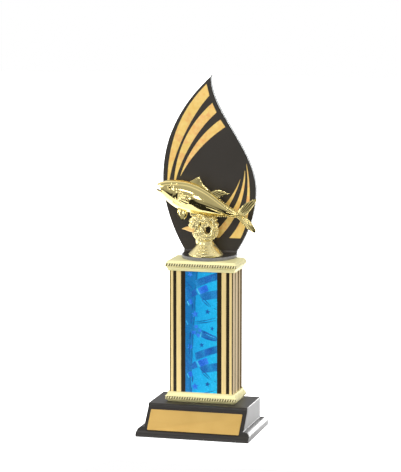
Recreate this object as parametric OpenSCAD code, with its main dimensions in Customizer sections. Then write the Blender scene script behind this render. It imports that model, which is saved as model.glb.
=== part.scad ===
// Column trophy: a weighted base with a sloping name plate, a foil-wrapped column between two
// gilt caps, a bent acrylic flame behind a fish figure on a riser, all clamped by one tie rod.
// The origin is at the bottom centre of the base, +Z is up, the front faces -Y, millimetres.

/* [Base] */
// Width of the base across its toe moulding
base_w = 110; // [104:1:124]
// Depth of the base across its toe moulding
base_d = 82; // [80:1:92]
// Height of the base
base_h = 28.4; // [26:0.2:34]
// How far the toe moulding stands out from the body
toe_out = 6.5; // [5:0.5:8]
// Height of the toe moulding at the sides and back
toe_h = 8.5; // [7:0.5:10]
// Radius of the toe moulding's round edge
toe_round = 4.6; // [3:0.1:5]
// Thickness of the base shell's walls
base_wall = 2.2; // [1.6:0.2:2.6]
// Width of the name plate on the slope
plaque_w = 89.5; // [70:0.5:92]
// Height of the name plate, measured along the slope
plaque_h = 22.5; // [14:0.5:24]

/* [Column] */
// Width of the foil-wrapped column
col_w = 62.8; // [50:0.2:70]
// Depth of the foil-wrapped column
col_d = 34.6; // [32:0.2:40]
// Height of column that shows between the caps
col_show = 116.8; // [60:0.2:200]
// Distance of the column and tie rod behind the base's centre
col_y = 12.4; // [8:0.2:13]
// Width of the blue film down the column's middle
film_w = 31; // [20:0.5:36]
// Height of each cap
cap_h = 9.5; // [9:0.5:12]
// How far each cap's beaded edge stands out from the column
cap_out = 3.8; // [3.4:0.1:5]

/* [Flame] */
// Thickness of the clear acrylic sheet
acrylic_t = 3.2; // [2:0.1:4]
// Inner radius of the sheet's bend
bend_r = 3; // [2:0.5:4]
// Distance of the flame's front face behind the tie rod
flame_back = 18; // [16:0.5:19]

/* [Figure] */
// Downward tilt of the fish's body from nose to tail, in degrees
fish_tilt = 15.5; // [10:0.5:18]
// Thickness of the figure's moulded wall
figure_wall = 1.6; // [1.2:0.1:2]
// Radius of the riser's round foot
foot_r = 16.4; // [14:0.2:18]

/* [Tie rod] */
// Radius of the tie rod
rod_r = 3; // [2.5:0.5:3]
// Radial clearance of the rod's holes
rod_gap = 0.3; // [0.2:0.1:0.5]

/* [Hidden] */
$fn = 96;
far = 400;

// Colours
black = [0.10, 0.09, 0.08];
gold = [0.86, 0.74, 0.42];
pale_gold = [0.94, 0.89, 0.60];
satin_gold = [0.86, 0.71, 0.41];
blue = [0.10, 0.60, 0.85];
steel = [0.70, 0.71, 0.73];

// Heights of the stack, from the floor up
pad_t = 1.2;
cover_t = 2;
cap_floor = 3;
col_z0 = base_h + cap_floor;
col_z1 = base_h + 2 * cap_h + col_show - cap_floor;
show_z0 = base_h + cap_h;
show_z1 = show_z0 + col_show;
cap_top = show_z1 + cap_h;
film_t = 0.15;
seat_z = cap_top + acrylic_t + film_t;

// Base section in the YZ plane: back face, lip at the top of the slope, and foot of the slope
body_half_w = base_w / 2 - toe_out;
body_back = base_d / 2 - toe_out;
lip_y = -19.1;
lip_z = base_h - 3.5;
lip_r = 2.5;
slope_y = 3.8 - base_d / 2;
slope_z = 4.8;
slope_run = lip_y - slope_y;
slope_rise = lip_z - slope_z;
slope_len = norm([slope_run, slope_rise]);
slope_angle = atan2(slope_rise, slope_run);
// The cavity's slope is the outer slope moved back by one wall thickness
slope_shift = base_wall / sin(slope_angle);

// Wall of the column tube, thickness of its foil, and the cap's clearance round it
core_wall = 2;
wrap_t = 0.2;
socket_gap = 0.1;

// Flame: the bend's centre line, and the half width of the sheet where it is bent
flame_y = col_y + flame_back;
bend_y = flame_y - bend_r;
bend_z = cap_top + acrylic_t + bend_r;
bend_half_w = 26.5;
foot_front = col_y - 15.9;

// Points on a cubic curve from a to d, pulled towards b and c
function curve(a, b, c, d, steps = 16) =
    [for (i = [0 : steps]) let (t = i / steps, s = 1 - t)
        s * s * s * a + 3 * s * s * t * b + 3 * s * t * t * c + t * t * t * d];

// A round bar or hole along Z
module bar(r, z0, z1) { translate([0, col_y, z0]) cylinder(r = r, h = z1 - z0); }

// An outline drawn in XZ, made solid between two depths along Y
module upright(y0, y1) { translate([0, y1, 0]) rotate([90, 0, 0]) linear_extrude(y1 - y0) children(); }

// An outline drawn in YZ, made solid over a width centred on X
module across(width) { rotate([90, 0, 90]) linear_extrude(width, center = true) children(); }

// ---- Base ----

// One toe moulding's section beside a vertical face at x = 0: a ledge, a round and a short face
module toe_section() {
    square([toe_out - toe_round, toe_h]);
    square([toe_out, toe_h - toe_round]);
    intersection() {
        translate([toe_out - toe_round, toe_h - toe_round]) circle(toe_round);
        square([toe_out, toe_h]);
    }
}

module base_front_view() {
    translate([-body_half_w, 0]) square([2 * body_half_w, base_h]);
    for (side = [0, 1]) mirror([side, 0]) translate([body_half_w, 0]) toe_section();
}

module base_side_view() {
    nose_y = slope_y - 2.4;
    polygon([[body_back, 0], [body_back, base_h], [lip_y + lip_r, base_h], [lip_y, base_h - lip_r],
             [lip_y, lip_z], [slope_y, slope_z], [nose_y, slope_z - 0.8],
             [-base_d / 2, slope_z - 2.4], [-base_d / 2, 0]]);
    translate([lip_y + lip_r, base_h - lip_r]) circle(lip_r);
    translate([body_back, 0]) toe_section();
}

module base_cavity(grow = 0) {
    back = body_back - base_wall - grow;
    across(2 * (body_half_w - base_wall - grow))
        polygon([[back, -1], [back, base_h - base_wall],
                 [lip_y + slope_shift, base_h - base_wall], [lip_y + slope_shift, lip_z],
                 [slope_y + slope_shift + grow, slope_z], [slope_y + slope_shift + grow, -1]]);
}

boss_r = 7;
boss_z = 16;

module base_shell() {
    color(black) difference() {
        union() {
            difference() {
                intersection() {
                    upright(-base_d, base_d) base_front_view();
                    across(base_w + 2) base_side_view();
                }
                base_cavity();
            }
            bar(boss_r, boss_z, base_h - 1);
        }
        bar(rod_r + rod_gap, 0, base_h + 1);
    }
}

washer_r = 9;
washer_t = 1.2;
nut_h = 5;
nut_flats = 10;
recess_r = 10;

// Cast weight that fills the shell down to the cover, with a well round the nut
module base_fill() {
    z0 = pad_t + cover_t;
    color([0.72, 0.70, 0.66]) difference() {
        intersection() {
            base_cavity();
            translate([-far / 2, -far / 2, z0]) cube([far, far, base_h]);
        }
        bar(recess_r, 0, boss_z);
        bar(boss_r, boss_z - 1, base_h);
    }
}

module base_cover() {
    color([0.20, 0.19, 0.18]) intersection() {
        base_cavity(0.1);
        translate([-far / 2, -far / 2, pad_t]) cube([far, far, cover_t]);
    }
}

module foot_pads() {
    pad_r = 6;
    color([0.15, 0.15, 0.15])
        for (x = [-36, 36], y = [-22, 22]) translate([x, y, 0]) cylinder(r = pad_r, h = pad_t);
}

// Places a flat piece on the slope: x across, y up the slope, z outwards
module on_slope() { translate([0, slope_y, slope_z]) rotate([slope_angle, 0, 0]) children(); }

tape_t = 0.3;
plaque_t = 0.6;
plaque_up = 1.4;

module plaque_tape() {
    margin = 2;
    color([0.9, 0.9, 0.85]) on_slope()
        translate([margin - plaque_w / 2, plaque_up + margin, 0])
            cube([plaque_w - 2 * margin, plaque_h - 2 * margin, tape_t]);
}

module plaque() {
    color(satin_gold) on_slope()
        translate([-plaque_w / 2, plaque_up, tape_t]) cube([plaque_w, plaque_h, plaque_t]);
}

// ---- Column and caps ----

// Rectangle centred on the tie rod, with a small radius on its corners
module column_outline(width, depth, r = 0.8) {
    translate([0, col_y]) {
        square([width, depth - 2 * r], center = true);
        square([width - 2 * r, depth], center = true);
        for (x = [-1, 1], y = [-1, 1])
            translate([x * (width / 2 - r), y * (depth / 2 - r)]) circle(r);
    }
}

// A cap's outline: out from the column, over the beaded band and in to the outer face
module cap_view(half) {
    edge = [[1.5, 0], [1.5, 1.5], [3.3, 4], [cap_out, 4.6], [cap_out, 6.8], [3.2, 7.2], [1.3, cap_h]];
    last = len(edge) - 1;
    polygon(concat([for (p = edge) [half + p[0], p[1]]],
                   [for (i = [last : -1 : 0]) [-half - edge[i][0], edge[i][1]]]));
}

// Cap with its socket downwards, as it sits on top of the column
module cap() {
    color(pale_gold) difference() {
        intersection() {
            upright(col_y - far / 2, col_y + far / 2) cap_view(col_w / 2);
            translate([0, col_y, 0]) across(far) cap_view(col_d / 2);
        }
        translate([0, 0, -1]) linear_extrude(cap_h - cap_floor + 1)
            column_outline(col_w + 2 * socket_gap, col_d + 2 * socket_gap);
        bar(rod_r + rod_gap, 0, cap_h + 1);
    }
}

module upper_cap() { translate([0, 0, show_z1]) cap(); }

module lower_cap() { translate([0, 0, show_z0]) mirror([0, 0, 1]) cap(); }

module column_core() {
    outer_w = col_w - 2 * wrap_t;
    outer_d = col_d - 2 * wrap_t;
    color([0.85, 0.84, 0.80]) translate([0, 0, col_z0]) linear_extrude(col_z1 - col_z0)
        difference() {
            column_outline(outer_w, outer_d);
            column_outline(outer_w - 2 * core_wall, outer_d - 2 * core_wall);
        }
}

module column_wrap() {
    color(gold) translate([0, 0, col_z0]) linear_extrude(col_z1 - col_z0) difference() {
        column_outline(col_w, col_d);
        column_outline(col_w - 2 * wrap_t, col_d - 2 * wrap_t);
    }
}

// A strip of film over the visible height of one broad face
module film(y0, y1) {
    color(blue) upright(y0, y1) translate([-film_w / 2, show_z0]) square([film_w, col_show]);
}

module front_film() { film(col_y - col_d / 2 - film_t, col_y - col_d / 2); }

module back_film() { film(col_y + col_d / 2, col_y + col_d / 2 + film_t); }

// ---- Flame ----

// Flame outline, up the left side to the tip and down the right side
flame_outline = concat(
    curve([-bend_half_w, bend_z], [-35, 184], [-47.4, 212], [-47.4, 238]),
    curve([-47.4, 238], [-47.4, 274], [-33, 307], [0.6, 337.5]),
    curve([0.6, 337.5], [-2, 305], [44.8, 268], [44.8, 228]),
    curve([44.8, 228], [44.8, 205], [36.5, 186], [bend_half_w, bend_z]));

// Foot of the flame, seen from above: full width at the bend, round at the front
foot_outline = concat(
    curve([bend_half_w, bend_y], [bend_half_w, col_y], [17, foot_front], [0, foot_front]),
    curve([0, foot_front], [-17, foot_front], [-bend_half_w, col_y], [-bend_half_w, bend_y]));

// The bent sheet's shape for a layer that lies between two distances from its inner face;
// a distance is positive into the acrylic and negative for a layer printed on it
module bent_layer(near, away) {
    upright(flame_y + near, flame_y + away) polygon(flame_outline);
    translate([0, 0, cap_top + acrylic_t - away]) linear_extrude(away - near)
        polygon(foot_outline);
    translate([0, bend_y, bend_z]) across(2 * bend_half_w) difference() {
        intersection() {
            circle(bend_r + away);
            translate([0, -far]) square([far, far]);
        }
        circle(bend_r + near);
    }
}

module flame_plate() {
    color([0.85, 0.92, 0.95, 0.5]) difference() {
        bent_layer(0, acrylic_t);
        bar(rod_r + rod_gap, cap_top - 1, seat_z + 1);
    }
}

module flame_print() {
    color(black) difference() {
        bent_layer(-film_t, 0);
        bar(rod_r + rod_gap, cap_top - 1, seat_z + 1);
    }
}

// A foil streak between two curves that start at the cut end and meet at the tip
module streak(end_a, pull_a, end_b, pull_b, tip) {
    upright(flame_y - 2 * film_t, flame_y - film_t)
        polygon(concat(curve(end_a, pull_a[0], pull_a[1], tip),
                       curve(tip, pull_b[1], pull_b[0], end_b)));
}

module gold_streaks_left() {
    color(gold) {
        streak([-4.2, 329.3], [[-24, 309], [-45, 280]],
               [-1.3, 318.2], [[-16, 303], [-40, 262]], [-42.8, 222]);
        streak([1.5, 311.3], [[-18, 294], [-36, 268]],
               [5.7, 302.3], [[-9, 290], [-31, 260]], [-36.9, 226]);
        streak([9.4, 295.6], [[-7, 284], [-23, 265]],
               [14.3, 288.7], [[-0.5, 279], [-19, 262]], [-30.5, 239]);
    }
}

module gold_streaks_right() {
    color(gold) {
        streak([29.3, 182.4], [[40.5, 203], [40, 235]],
               [18.3, 182.4], [[38.5, 206], [37.5, 232]], [34.7, 255.5]);
        streak([8.5, 182.4], [[28.5, 203], [35, 226]],
               [-1.5, 182.4], [[23, 204], [31.5, 225]], [33.6, 249.4]);
        streak([14, 207], [[21.5, 217.5], [27.5, 232]],
               [6.5, 207], [[17, 216], [25, 229]], [29.3, 240]);
    }
}

// ---- Riser under the fish ----

insert_r = 4.5;
insert_h = 10;
riser_half_d = 5.5;
scroll_half_d = 7.5;

// The riser's outline: out from the neck into two lobes, with a leaf tip on the left
riser_outline = concat(
    [[-6.5, 177]],
    curve([-9.5, 180.5], [-11, 185], [-15.5, 187], [-17, 191.5], 8),
    [[-22.2, 192.8], [-17.8, 195]],
    curve([-17.8, 195], [-19, 200], [-17.5, 204], [-14.2, 206], 8),
    [[-1, 202.4]],
    curve([3, 201.2], [10, 198], [13.5, 194], [12.8, 189], 8),
    curve([12.8, 189], [12, 185], [7, 184], [5.8, 180.5], 8),
    [[5.8, 177]]);

module riser_body() {
    foot_rim = 1.6;
    foot_chamfer = 0.6;
    translate([0, col_y, seat_z]) rotate_extrude()
        polygon(concat([[0, 0], [foot_r - foot_chamfer, 0], [foot_r, foot_chamfer]],
                       curve([foot_r, foot_rim], [foot_r - 3.5, 3], [10.5, 6], [9, 9.4], 6),
                       [[9, 10.2], [8, 10.8], [8, 12.4], [6.8, 13], [0, 13]]));
    difference() {
        union() {
            upright(col_y - riser_half_d, col_y + riser_half_d) polygon(riser_outline);
            upright(col_y - scroll_half_d, col_y + scroll_half_d) {
                translate([-10.8, 196]) circle(5.6);
                translate([2.6, 191]) circle(7.2);
            }
        }
        upright(col_y - far / 2, col_y + far / 2) {
            translate([1.6, 191]) circle(2.1);
            polygon([[-0.4, 191.6], [3.2, 196], [3.6, 190.6]]);
        }
    }
}

// Keeps the half of a moulding on one side of the figure's parting plane: -1 front, 1 back
module figure_half(side) {
    intersection() {
        children();
        translate([-far / 2, side < 0 ? col_y - far : col_y, 0]) cube([far, far, far]);
    }
}

module riser_half(side) {
    color(gold) difference() {
        figure_half(side) riser_body();
        bar(insert_r, seat_z - 1, seat_z + insert_h + 1);
    }
}

module riser_front_half() { riser_half(-1); }

module riser_back_half() { riser_half(1); }

module figure_insert() {
    color([0.80, 0.66, 0.35]) difference() {
        bar(insert_r, seat_z, seat_z + insert_h);
        bar(rod_r, seat_z - 1, seat_z + insert_h + 1);
    }
}

// ---- Fish ----

// Stations along the body from nose to tail: distance, top edge, bottom edge, half width
fish_stations = [
    [0, 2.6, -2.6, 1.6], [3, 5.2, -4.8, 3.6], [8, 8.2, -7, 5.8], [14, 10.5, -10.4, 7.8],
    [22, 12.8, -13.6, 9.4], [30, 14.1, -14.8, 10], [40, 13.5, -14.6, 9.8], [50, 11.3, -13.2, 8.4],
    [60, 7, -10.8, 6.2], [70, 2.9, -7.5, 3.8], [80, 0.2, -5.2, 2.1], [87, -1, -4.2, 1.4]];
fish_side_steps = 12;

// Section points of half a body from its top edge round one side to its bottom edge,
// shrunk towards the middle by a wall thickness
function fish_arc(station, wall) =
    let (mid = (station[1] + station[2]) / 2, high = (station[1] - station[2]) / 2,
         w = station[3] - min(wall, 0.6 * station[3]), h = high - min(wall, 0.6 * high))
    [for (i = [0 : fish_side_steps]) let (angle = 90 - 180 * i / fish_side_steps)
        [station[0], w * cos(angle), mid + h * sin(angle)]];

// One half of the hollow body, from the parting plane at y = 0 towards +y
module fish_half_body() {
    ring = 2 * (fish_side_steps + 1);
    last = len(fish_stations) - 1;
    points = [for (s = fish_stations, p = concat(fish_arc(s, 0),
        [for (i = [fish_side_steps : -1 : 0]) fish_arc(s, figure_wall)[i]])) p];
    sides = [for (k = [0 : last - 1], i = [0 : ring - 1])
        let (j = (i + 1) % ring, a = k * ring, b = a + ring)
        each [[a + i, b + j, b + i], [a + i, a + j, b + j]]];
    nose = [for (i = [0 : fish_side_steps - 1])
        each [[i, ring - 1 - i, ring - 2 - i], [i, ring - 2 - i, i + 1]]];
    tail = [for (q = nose) [q[0] + last * ring, q[2] + last * ring, q[1] + last * ring]];
    polyhedron(points, concat(sides, nose, tail), convexity = 6);
}

// Height of the body's top or bottom edge at a distance from the nose
function fish_edge(u, column) = lookup(u, [for (s = fish_stations) [s[0], s[column]]]);

fin_half_t = 0.7;

module fin(y0, y1, outline) { upright(y0, y1) polygon(outline); }

// Fins that lie on the parting plane, each half as thick as the whole fin
module centre_fins() {
    fin(0, fin_half_t, [[29, 12.6], [31.5, 14.4], [34.1, 18], [37.6, 20.9], [39.4, 19.4],
                        [43.5, 15], [49, 12], [50, 10]]);
    fin(0, fin_half_t, concat([[51, 9.5]], curve([52.5, 10.8], [56, 14.4], [64, 15.4], [70.1, 13.9], 6),
                              curve([70.1, 13.9], [66, 13], [63, 11], [61.5, 6], 6), [[56, 7]]));
    fin(0, fin_half_t, [[53, -11.5], [58, -14.5], [64.5, -17], [62.5, -13.5], [61.5, -9.5]]);
    fin(0, fin_half_t, concat([[82, -1]], curve([84.4, 1], [86, 8], [91, 13], [96.2, 16.9], 6),
                              curve([96.2, 16.9], [94, 10], [89, 4], [90.3, -1.5], 6),
                              curve([90.3, -1.5], [93, -6], [99, -8], [103.5, -12], 6),
                              [[102.7, -13.6]],
                              curve([102.7, -13.6], [95, -12], [90, -9], [86, -5.4], 6), [[82, -4.2]]));
    // Rows of finlets in front of the tail, above and below
    for (i = [0 : 5]) {
        u = 62.5 + 3.3 * i;
        top = fish_edge(u, 1);
        bottom = fish_edge(u, 2);
        fin(0, fin_half_t, [[u, top - 1], [u, top], [u + 2.8, top + 0.9], [u + 2.4, top - 2]]);
        fin(0, fin_half_t, [[u, bottom + 1], [u, bottom], [u + 2.8, bottom - 1], [u + 2.4, bottom + 2]]);
    }
}

module side_fins() {
    fin(8.4, 10.6, concat(curve([26, 1], [31, 3], [37, 3], [40, 0.6], 6),
                          curve([40, 0.6], [37, -3], [33, -6], [27, -4], 6)));
    fin(2.4, 3.8, [[26.5, -12.5], [28, -17], [33.7, -23.3], [34.4, -19], [35, -12.8]]);
}

saddle_z = -16;

// Stub that stands on the riser's sloping top, in half
module saddle() { fin(0, 3, [[39, saddle_z], [52, saddle_z], [52, -12.4], [39, -13.6]]); }

module fish_place() { translate([-48.5, col_y, 232.3]) rotate([0, fish_tilt, 0]) children(); }

module fish_half(side) {
    color(gold) fish_place() mirror([0, side < 0 ? 1 : 0, 0]) difference() {
        union() {
            fish_half_body();
            centre_fins();
            side_fins();
            saddle();
        }
        fin(-1, 8, [[-2, 2.4], [7.2, -2.2], [-2, -2.4]]);
    }
}

module fish_front_half() { fish_half(-1); }

module fish_back_half() { fish_half(1); }

// ---- Tie rod and its nut ----

rod_z0 = 7;

module tie_rod() { color(steel) bar(rod_r, rod_z0, seat_z + insert_h - 0.5); }

module rod_washer() {
    color(steel) difference() {
        bar(washer_r, boss_z - washer_t, boss_z);
        bar(rod_r + rod_gap, 0, base_h);
    }
}

module rod_nut() {
    corner_r = nut_flats / 2 / cos(30);
    z1 = boss_z - washer_t;
    color(steel) difference() {
        translate([0, col_y, z1 - nut_h]) cylinder(r = corner_r, h = nut_h, $fn = 6);
        bar(rod_r, 0, base_h);
    }
}

base_shell();
base_fill();
base_cover();
foot_pads();
plaque_tape();
plaque();
lower_cap();
column_core();
column_wrap();
front_film();
back_film();
upper_cap();
flame_plate();
flame_print();
gold_streaks_left();
gold_streaks_right();
riser_front_half();
riser_back_half();
fish_front_half();
fish_back_half();
figure_insert();
tie_rod();
rod_nut();
rod_washer();
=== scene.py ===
import math
import bmesh
import bpy
from mathutils import Matrix, Vector


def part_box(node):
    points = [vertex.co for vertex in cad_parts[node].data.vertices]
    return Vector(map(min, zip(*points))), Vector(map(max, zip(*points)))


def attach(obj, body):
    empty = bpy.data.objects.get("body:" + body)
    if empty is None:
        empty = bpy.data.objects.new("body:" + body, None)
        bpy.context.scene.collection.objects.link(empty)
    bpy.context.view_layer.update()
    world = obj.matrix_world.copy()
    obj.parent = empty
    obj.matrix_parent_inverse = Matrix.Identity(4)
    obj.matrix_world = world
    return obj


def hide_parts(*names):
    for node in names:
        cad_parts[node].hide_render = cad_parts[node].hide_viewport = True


# Looks of a column trophy. Lengths of the pieces are in millimetres, in the model's own frame:
# the origin is at the bottom centre of the base, +Z is up and the front faces -Y.
# Form.make turns them into metres.

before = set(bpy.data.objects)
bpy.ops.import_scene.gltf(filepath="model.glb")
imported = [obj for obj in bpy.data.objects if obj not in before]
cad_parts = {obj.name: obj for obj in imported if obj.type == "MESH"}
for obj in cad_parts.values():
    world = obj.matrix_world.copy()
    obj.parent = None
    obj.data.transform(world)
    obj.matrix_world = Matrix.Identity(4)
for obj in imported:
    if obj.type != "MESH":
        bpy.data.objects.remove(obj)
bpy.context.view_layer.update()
MM = 0.001


def node_box(name):
    """Lowest and highest corner of a CAD node, in millimetres."""
    low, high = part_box(name)
    return low / MM, high / MM


base_low, base_high = node_box("base_shell")
wrap_low, wrap_high = node_box("column_wrap")
film_low, film_high = node_box("front_film")
cap_low, cap_high = node_box("upper_cap")
flame_low, flame_high = node_box("flame_plate")
rod_low, rod_high = node_box("tie_rod")

# The tie rod's axis runs up the middle of the column
AXIS_Y = (wrap_low.y + wrap_high.y) / 2
ROD_GAP = 0.3
ROD_HOLE_R = (rod_high.x - rod_low.x) / 2 + ROD_GAP
COL_HALF_W = wrap_high.x
COL_HALF_D = (wrap_high.y - wrap_low.y) / 2
SHOW_Z0 = film_low.z
SHOW_Z1 = film_high.z
CAP_H = cap_high.z - cap_low.z
CAP_TOP = cap_high.z
SHEET_T = 3.2
FILM_T = 0.15
FLAME_Y = flame_high.y - SHEET_T


# ---- Curves and rings ----

STEPS_PER_SPAN = 12
CORNER_STEPS = 5
SIDE_POINTS = 7


def smooth_step(value):
    """Eases from 0 to 1 as the value goes from 0 to 1."""
    value = min(max(value, 0.0), 1.0)
    return value * value * (3 - 2 * value)


def hump(distance, width):
    """A smooth bump of height 1, this wide to each side."""
    return math.exp(-(distance / width) ** 2)


def curve(a, b, c, d, steps=16):
    """Points on a cubic curve from a to d, pulled towards b and c."""
    points = []
    for i in range(steps + 1):
        t = i / steps
        s = 1 - t
        weights = (s ** 3, 3 * s * s * t, 3 * s * t * t, t ** 3)
        points.append(tuple(sum(w * p[k] for w, p in zip(weights, (a, b, c, d)))
                            for k in range(len(a))))
    return points


def through(points, count):
    """A smooth line through the points, as evenly spaced points."""
    points = [Vector(p) for p in points]
    padded = [2 * points[0] - points[1]] + points + [2 * points[-1] - points[-2]]
    fine = []
    for k in range(len(points) - 1):
        a, b, c, d = padded[k:k + 4]
        for i in range(STEPS_PER_SPAN):
            t = i / STEPS_PER_SPAN
            fine.append(0.5 * (2 * b + (c - a) * t + (2 * a - 5 * b + 4 * c - d) * t * t
                               + (3 * b - a - 3 * c + d) * t ** 3))
    fine.append(points[-1])
    lengths = [0.0]
    for p, q in zip(fine, fine[1:]):
        lengths.append(lengths[-1] + (q - p).length)
    even = []
    k = 0
    for i in range(count):
        target = lengths[-1] * i / (count - 1)
        while k < len(fine) - 2 and lengths[k + 1] < target:
            k += 1
        share = (target - lengths[k]) / max(lengths[k + 1] - lengths[k], 1e-9)
        even.append(fine[k].lerp(fine[k + 1], min(share, 1.0)))
    return even


def flat_line(points, count):
    """A smooth line through pairs, as evenly spaced pairs."""
    return [(p.x, p.y) for p in through([(u, v, 0) for u, v in points], count)]


RING_COUNT = 4 * (CORNER_STEPS + 1 + SIDE_POINTS)


def box_ring(x0, x1, y0, y1, z, radius):
    """A level rectangle with rounded corners, anticlockwise from its right front corner."""
    corners = [(x1 - radius, y0 + radius, -90), (x1 - radius, y1 - radius, 0),
               (x0 + radius, y1 - radius, 90), (x0 + radius, y0 + radius, 180)]
    arcs = []
    for cx, cy, start in corners:
        angles = [math.radians(start + 90 * i / CORNER_STEPS) for i in range(CORNER_STEPS + 1)]
        arcs.append([Vector((cx + radius * math.cos(a), cy + radius * math.sin(a), z))
                     for a in angles])
    ring = []
    for arc, following in zip(arcs, arcs[1:] + arcs[:1]):
        ring += arc
        for i in range(SIDE_POINTS):
            ring.append(arc[-1].lerp(following[0], (i + 1) / (SIDE_POINTS + 1)))
    return ring


def column_ring(out, z, radius):
    """A level ring that stands this far out from the column."""
    return box_ring(-COL_HALF_W - out, COL_HALF_W + out, AXIS_Y - COL_HALF_D - out,
                    AXIS_Y + COL_HALF_D + out, z, radius)


def round_ring(radius, z):
    """A level circle round the tie rod, with as many points as a box ring."""
    start = math.radians(-65)
    angles = [start + 2 * math.pi * i / RING_COUNT for i in range(RING_COUNT)]
    return [Vector((radius * math.cos(a), AXIS_Y + radius * math.sin(a), z)) for a in angles]


def tube_rings(path, radii, sides=10, flat=1.0):
    """Rings of a bar that follows a path; flat squeezes its section along Y."""
    path = [Vector(p) for p in path]
    if not isinstance(radii, (list, tuple)):
        radii = [radii] * len(path)
    rings = []
    across = None
    for i, point in enumerate(path):
        ahead = path[min(i + 1, len(path) - 1)] - path[max(i - 1, 0)]
        ahead.normalize()
        if across is None:
            across = ahead.cross(Vector((0, 1, 0)))
            if across.length < 0.1:
                across = ahead.cross(Vector((1, 0, 0)))
        across = (across - ahead * across.dot(ahead)).normalized()
        other = ahead.cross(across)
        ring = []
        for k in range(sides):
            angle = 2 * math.pi * k / sides
            offset = (across * math.cos(angle) + other * math.sin(angle)) * radii[i]
            offset.y *= flat
            ring.append(point + offset)
        rings.append(ring)
    return rings


def tapered(count, radius, tip=0.15):
    """Radii that swell in the middle and shrink to a tip at both ends."""
    shares = [i / (count - 1) for i in range(count)]
    return [radius * (tip + (1 - tip) * math.sin(math.pi * t) ** 0.5) for t in shares]


# Degrees: edges sharper than this stay sharp
CRISP = 30
SOFT = 60
MERGE_GAP = 0.002


class Form:
    """Gathers one piece's points and faces, in millimetres."""

    def __init__(self):
        self.points = []
        self.faces = []

    def add(self, points, faces):
        """Takes in points, and faces that count from the first of them."""
        first = len(self.points)
        self.points += [Vector(p) for p in points]
        self.faces += [[first + i for i in face] for face in faces]

    def loft(self, rings, closed=False):
        """Joins rings of equal count. The two ends are capped, or joined if closed."""
        count = len(rings[0])
        faces = []
        spans = len(rings) if closed else len(rings) - 1
        for k in range(spans):
            a = k * count
            b = (k + 1) % len(rings) * count
            for i in range(count):
                j = (i + 1) % count
                faces.append([a + i, a + j, b + j, b + i])
        points = [p for ring in rings for p in ring]
        if not closed:
            faces.append(list(range(count)))
            faces.append([len(points) - 1 - i for i in range(count)])
        self.add(points, faces)

    def tube(self, path, radii, sides=10, flat=1.0):
        """A bar along a path."""
        self.loft(tube_rings(path, radii, sides, flat))

    def turn(self, centre, axis, profile, steps=32):
        """Turns a profile of (radius, distance along the axis) round an axis."""
        axis = Vector(axis).normalized()
        across = axis.orthogonal().normalized()
        other = axis.cross(across)
        rings = []
        for radius, along in profile:
            angles = [2 * math.pi * i / steps for i in range(steps)]
            rings.append([Vector(centre) + axis * along
                          + (across * math.cos(a) + other * math.sin(a)) * radius
                          for a in angles])
        self.loft(rings)

    def blob(self, centre, radii, rows=12, steps=20):
        """An egg-shaped lump with three radii."""
        rings = []
        for k in range(rows + 1):
            angle = math.pi * (0.03 + 0.94 * k / rows)
            ring = []
            for i in range(steps):
                turn = 2 * math.pi * i / steps
                ring.append(Vector((centre[0] + radii[0] * math.sin(angle) * math.cos(turn),
                                    centre[1] + radii[1] * math.sin(angle) * math.sin(turn),
                                    centre[2] + radii[2] * math.cos(angle))))
            rings.append(ring)
        self.loft(rings)

    def band(self, edge_a, edge_b, near, far):
        """A thin strip between two edges drawn in XZ, solid between two depths along Y."""
        rings = []
        for (ax, az), (bx, bz) in zip(edge_a, edge_b):
            rings.append([Vector((ax, near, az)), Vector((bx, near, bz)),
                          Vector((bx, far, bz)), Vector((ax, far, az))])
        self.loft(rings)

    def make(self, name, material, sharp, place=None):
        """Makes the piece: metres, doubles merged, faces outwards, smooth but for sharp edges."""
        place = place or Matrix()
        mesh = bpy.data.meshes.new(name)
        mesh.from_pydata([(place @ p) * MM for p in self.points], [], self.faces)
        work = bmesh.new()
        work.from_mesh(mesh)
        bmesh.ops.remove_doubles(work, verts=work.verts, dist=MERGE_GAP * MM)
        bmesh.ops.recalc_face_normals(work, faces=work.faces)
        work.to_mesh(mesh)
        work.free()
        mesh.shade_smooth()
        mesh.set_sharp_from_angle(angle=math.radians(sharp))
        mesh.materials.append(material)
        return show(name, mesh)


def show(name, data):
    """Puts new data in the scene as an object."""
    made = bpy.data.objects.new(name, data)
    bpy.context.scene.collection.objects.link(made)
    return made


def settle(piece):
    """Turns a piece with modifiers into a plain mesh."""
    bpy.context.view_layer.update()
    seen = piece.evaluated_get(bpy.context.evaluated_depsgraph_get())
    mesh = bpy.data.meshes.new_from_object(seen)
    mesh.name = piece.name
    piece.modifiers.clear()
    piece.data = mesh
    return piece


def rounded(piece, width, segments=2):
    """Gives a piece's sharp edges a small round."""
    bevel = piece.modifiers.new("edge round", "BEVEL")
    bevel.width = width * MM
    bevel.segments = segments
    bevel.limit_method = "ANGLE"
    bevel.angle_limit = math.radians(40)
    settle(piece)
    piece.data.set_sharp_from_angle(angle=math.radians(25))
    return piece


def fit(piece, slot_name, *nodes):
    """Rides the piece on the trophy, in place of these nodes. The slot name is not used."""
    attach(piece, "root")
    if nodes:
        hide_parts(*nodes)


# ---- Node trees ----

def feed(tree, node, inputs):
    """Gives a node its inputs. A socket is linked and any other value is set."""
    for key, value in inputs.items():
        if isinstance(value, bpy.types.NodeSocket):
            tree.links.new(value, node.inputs[key])
        else:
            node.inputs[key].default_value = value


def add(tree, kind, inputs=None, **settings):
    """Adds a node and gives its outputs."""
    made = tree.nodes.new(kind)
    for name, value in settings.items():
        setattr(made, name, value)
    feed(tree, made, inputs or {})
    return made.outputs


def linear(red, green, blue):
    """A colour given in screen values from 0 to 255, as the shader wants it."""
    out = []
    for value in (red, green, blue):
        v = value / 255
        out.append(v / 12.92 if v <= 0.04045 else ((v + 0.055) / 1.055) ** 2.4)
    return (*out, 1.0)


def math_node(tree, operation, a, b=0.0):
    """One sum of two values."""
    return add(tree, "ShaderNodeMath", {0: a, 1: b}, operation=operation)[0]


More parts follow.
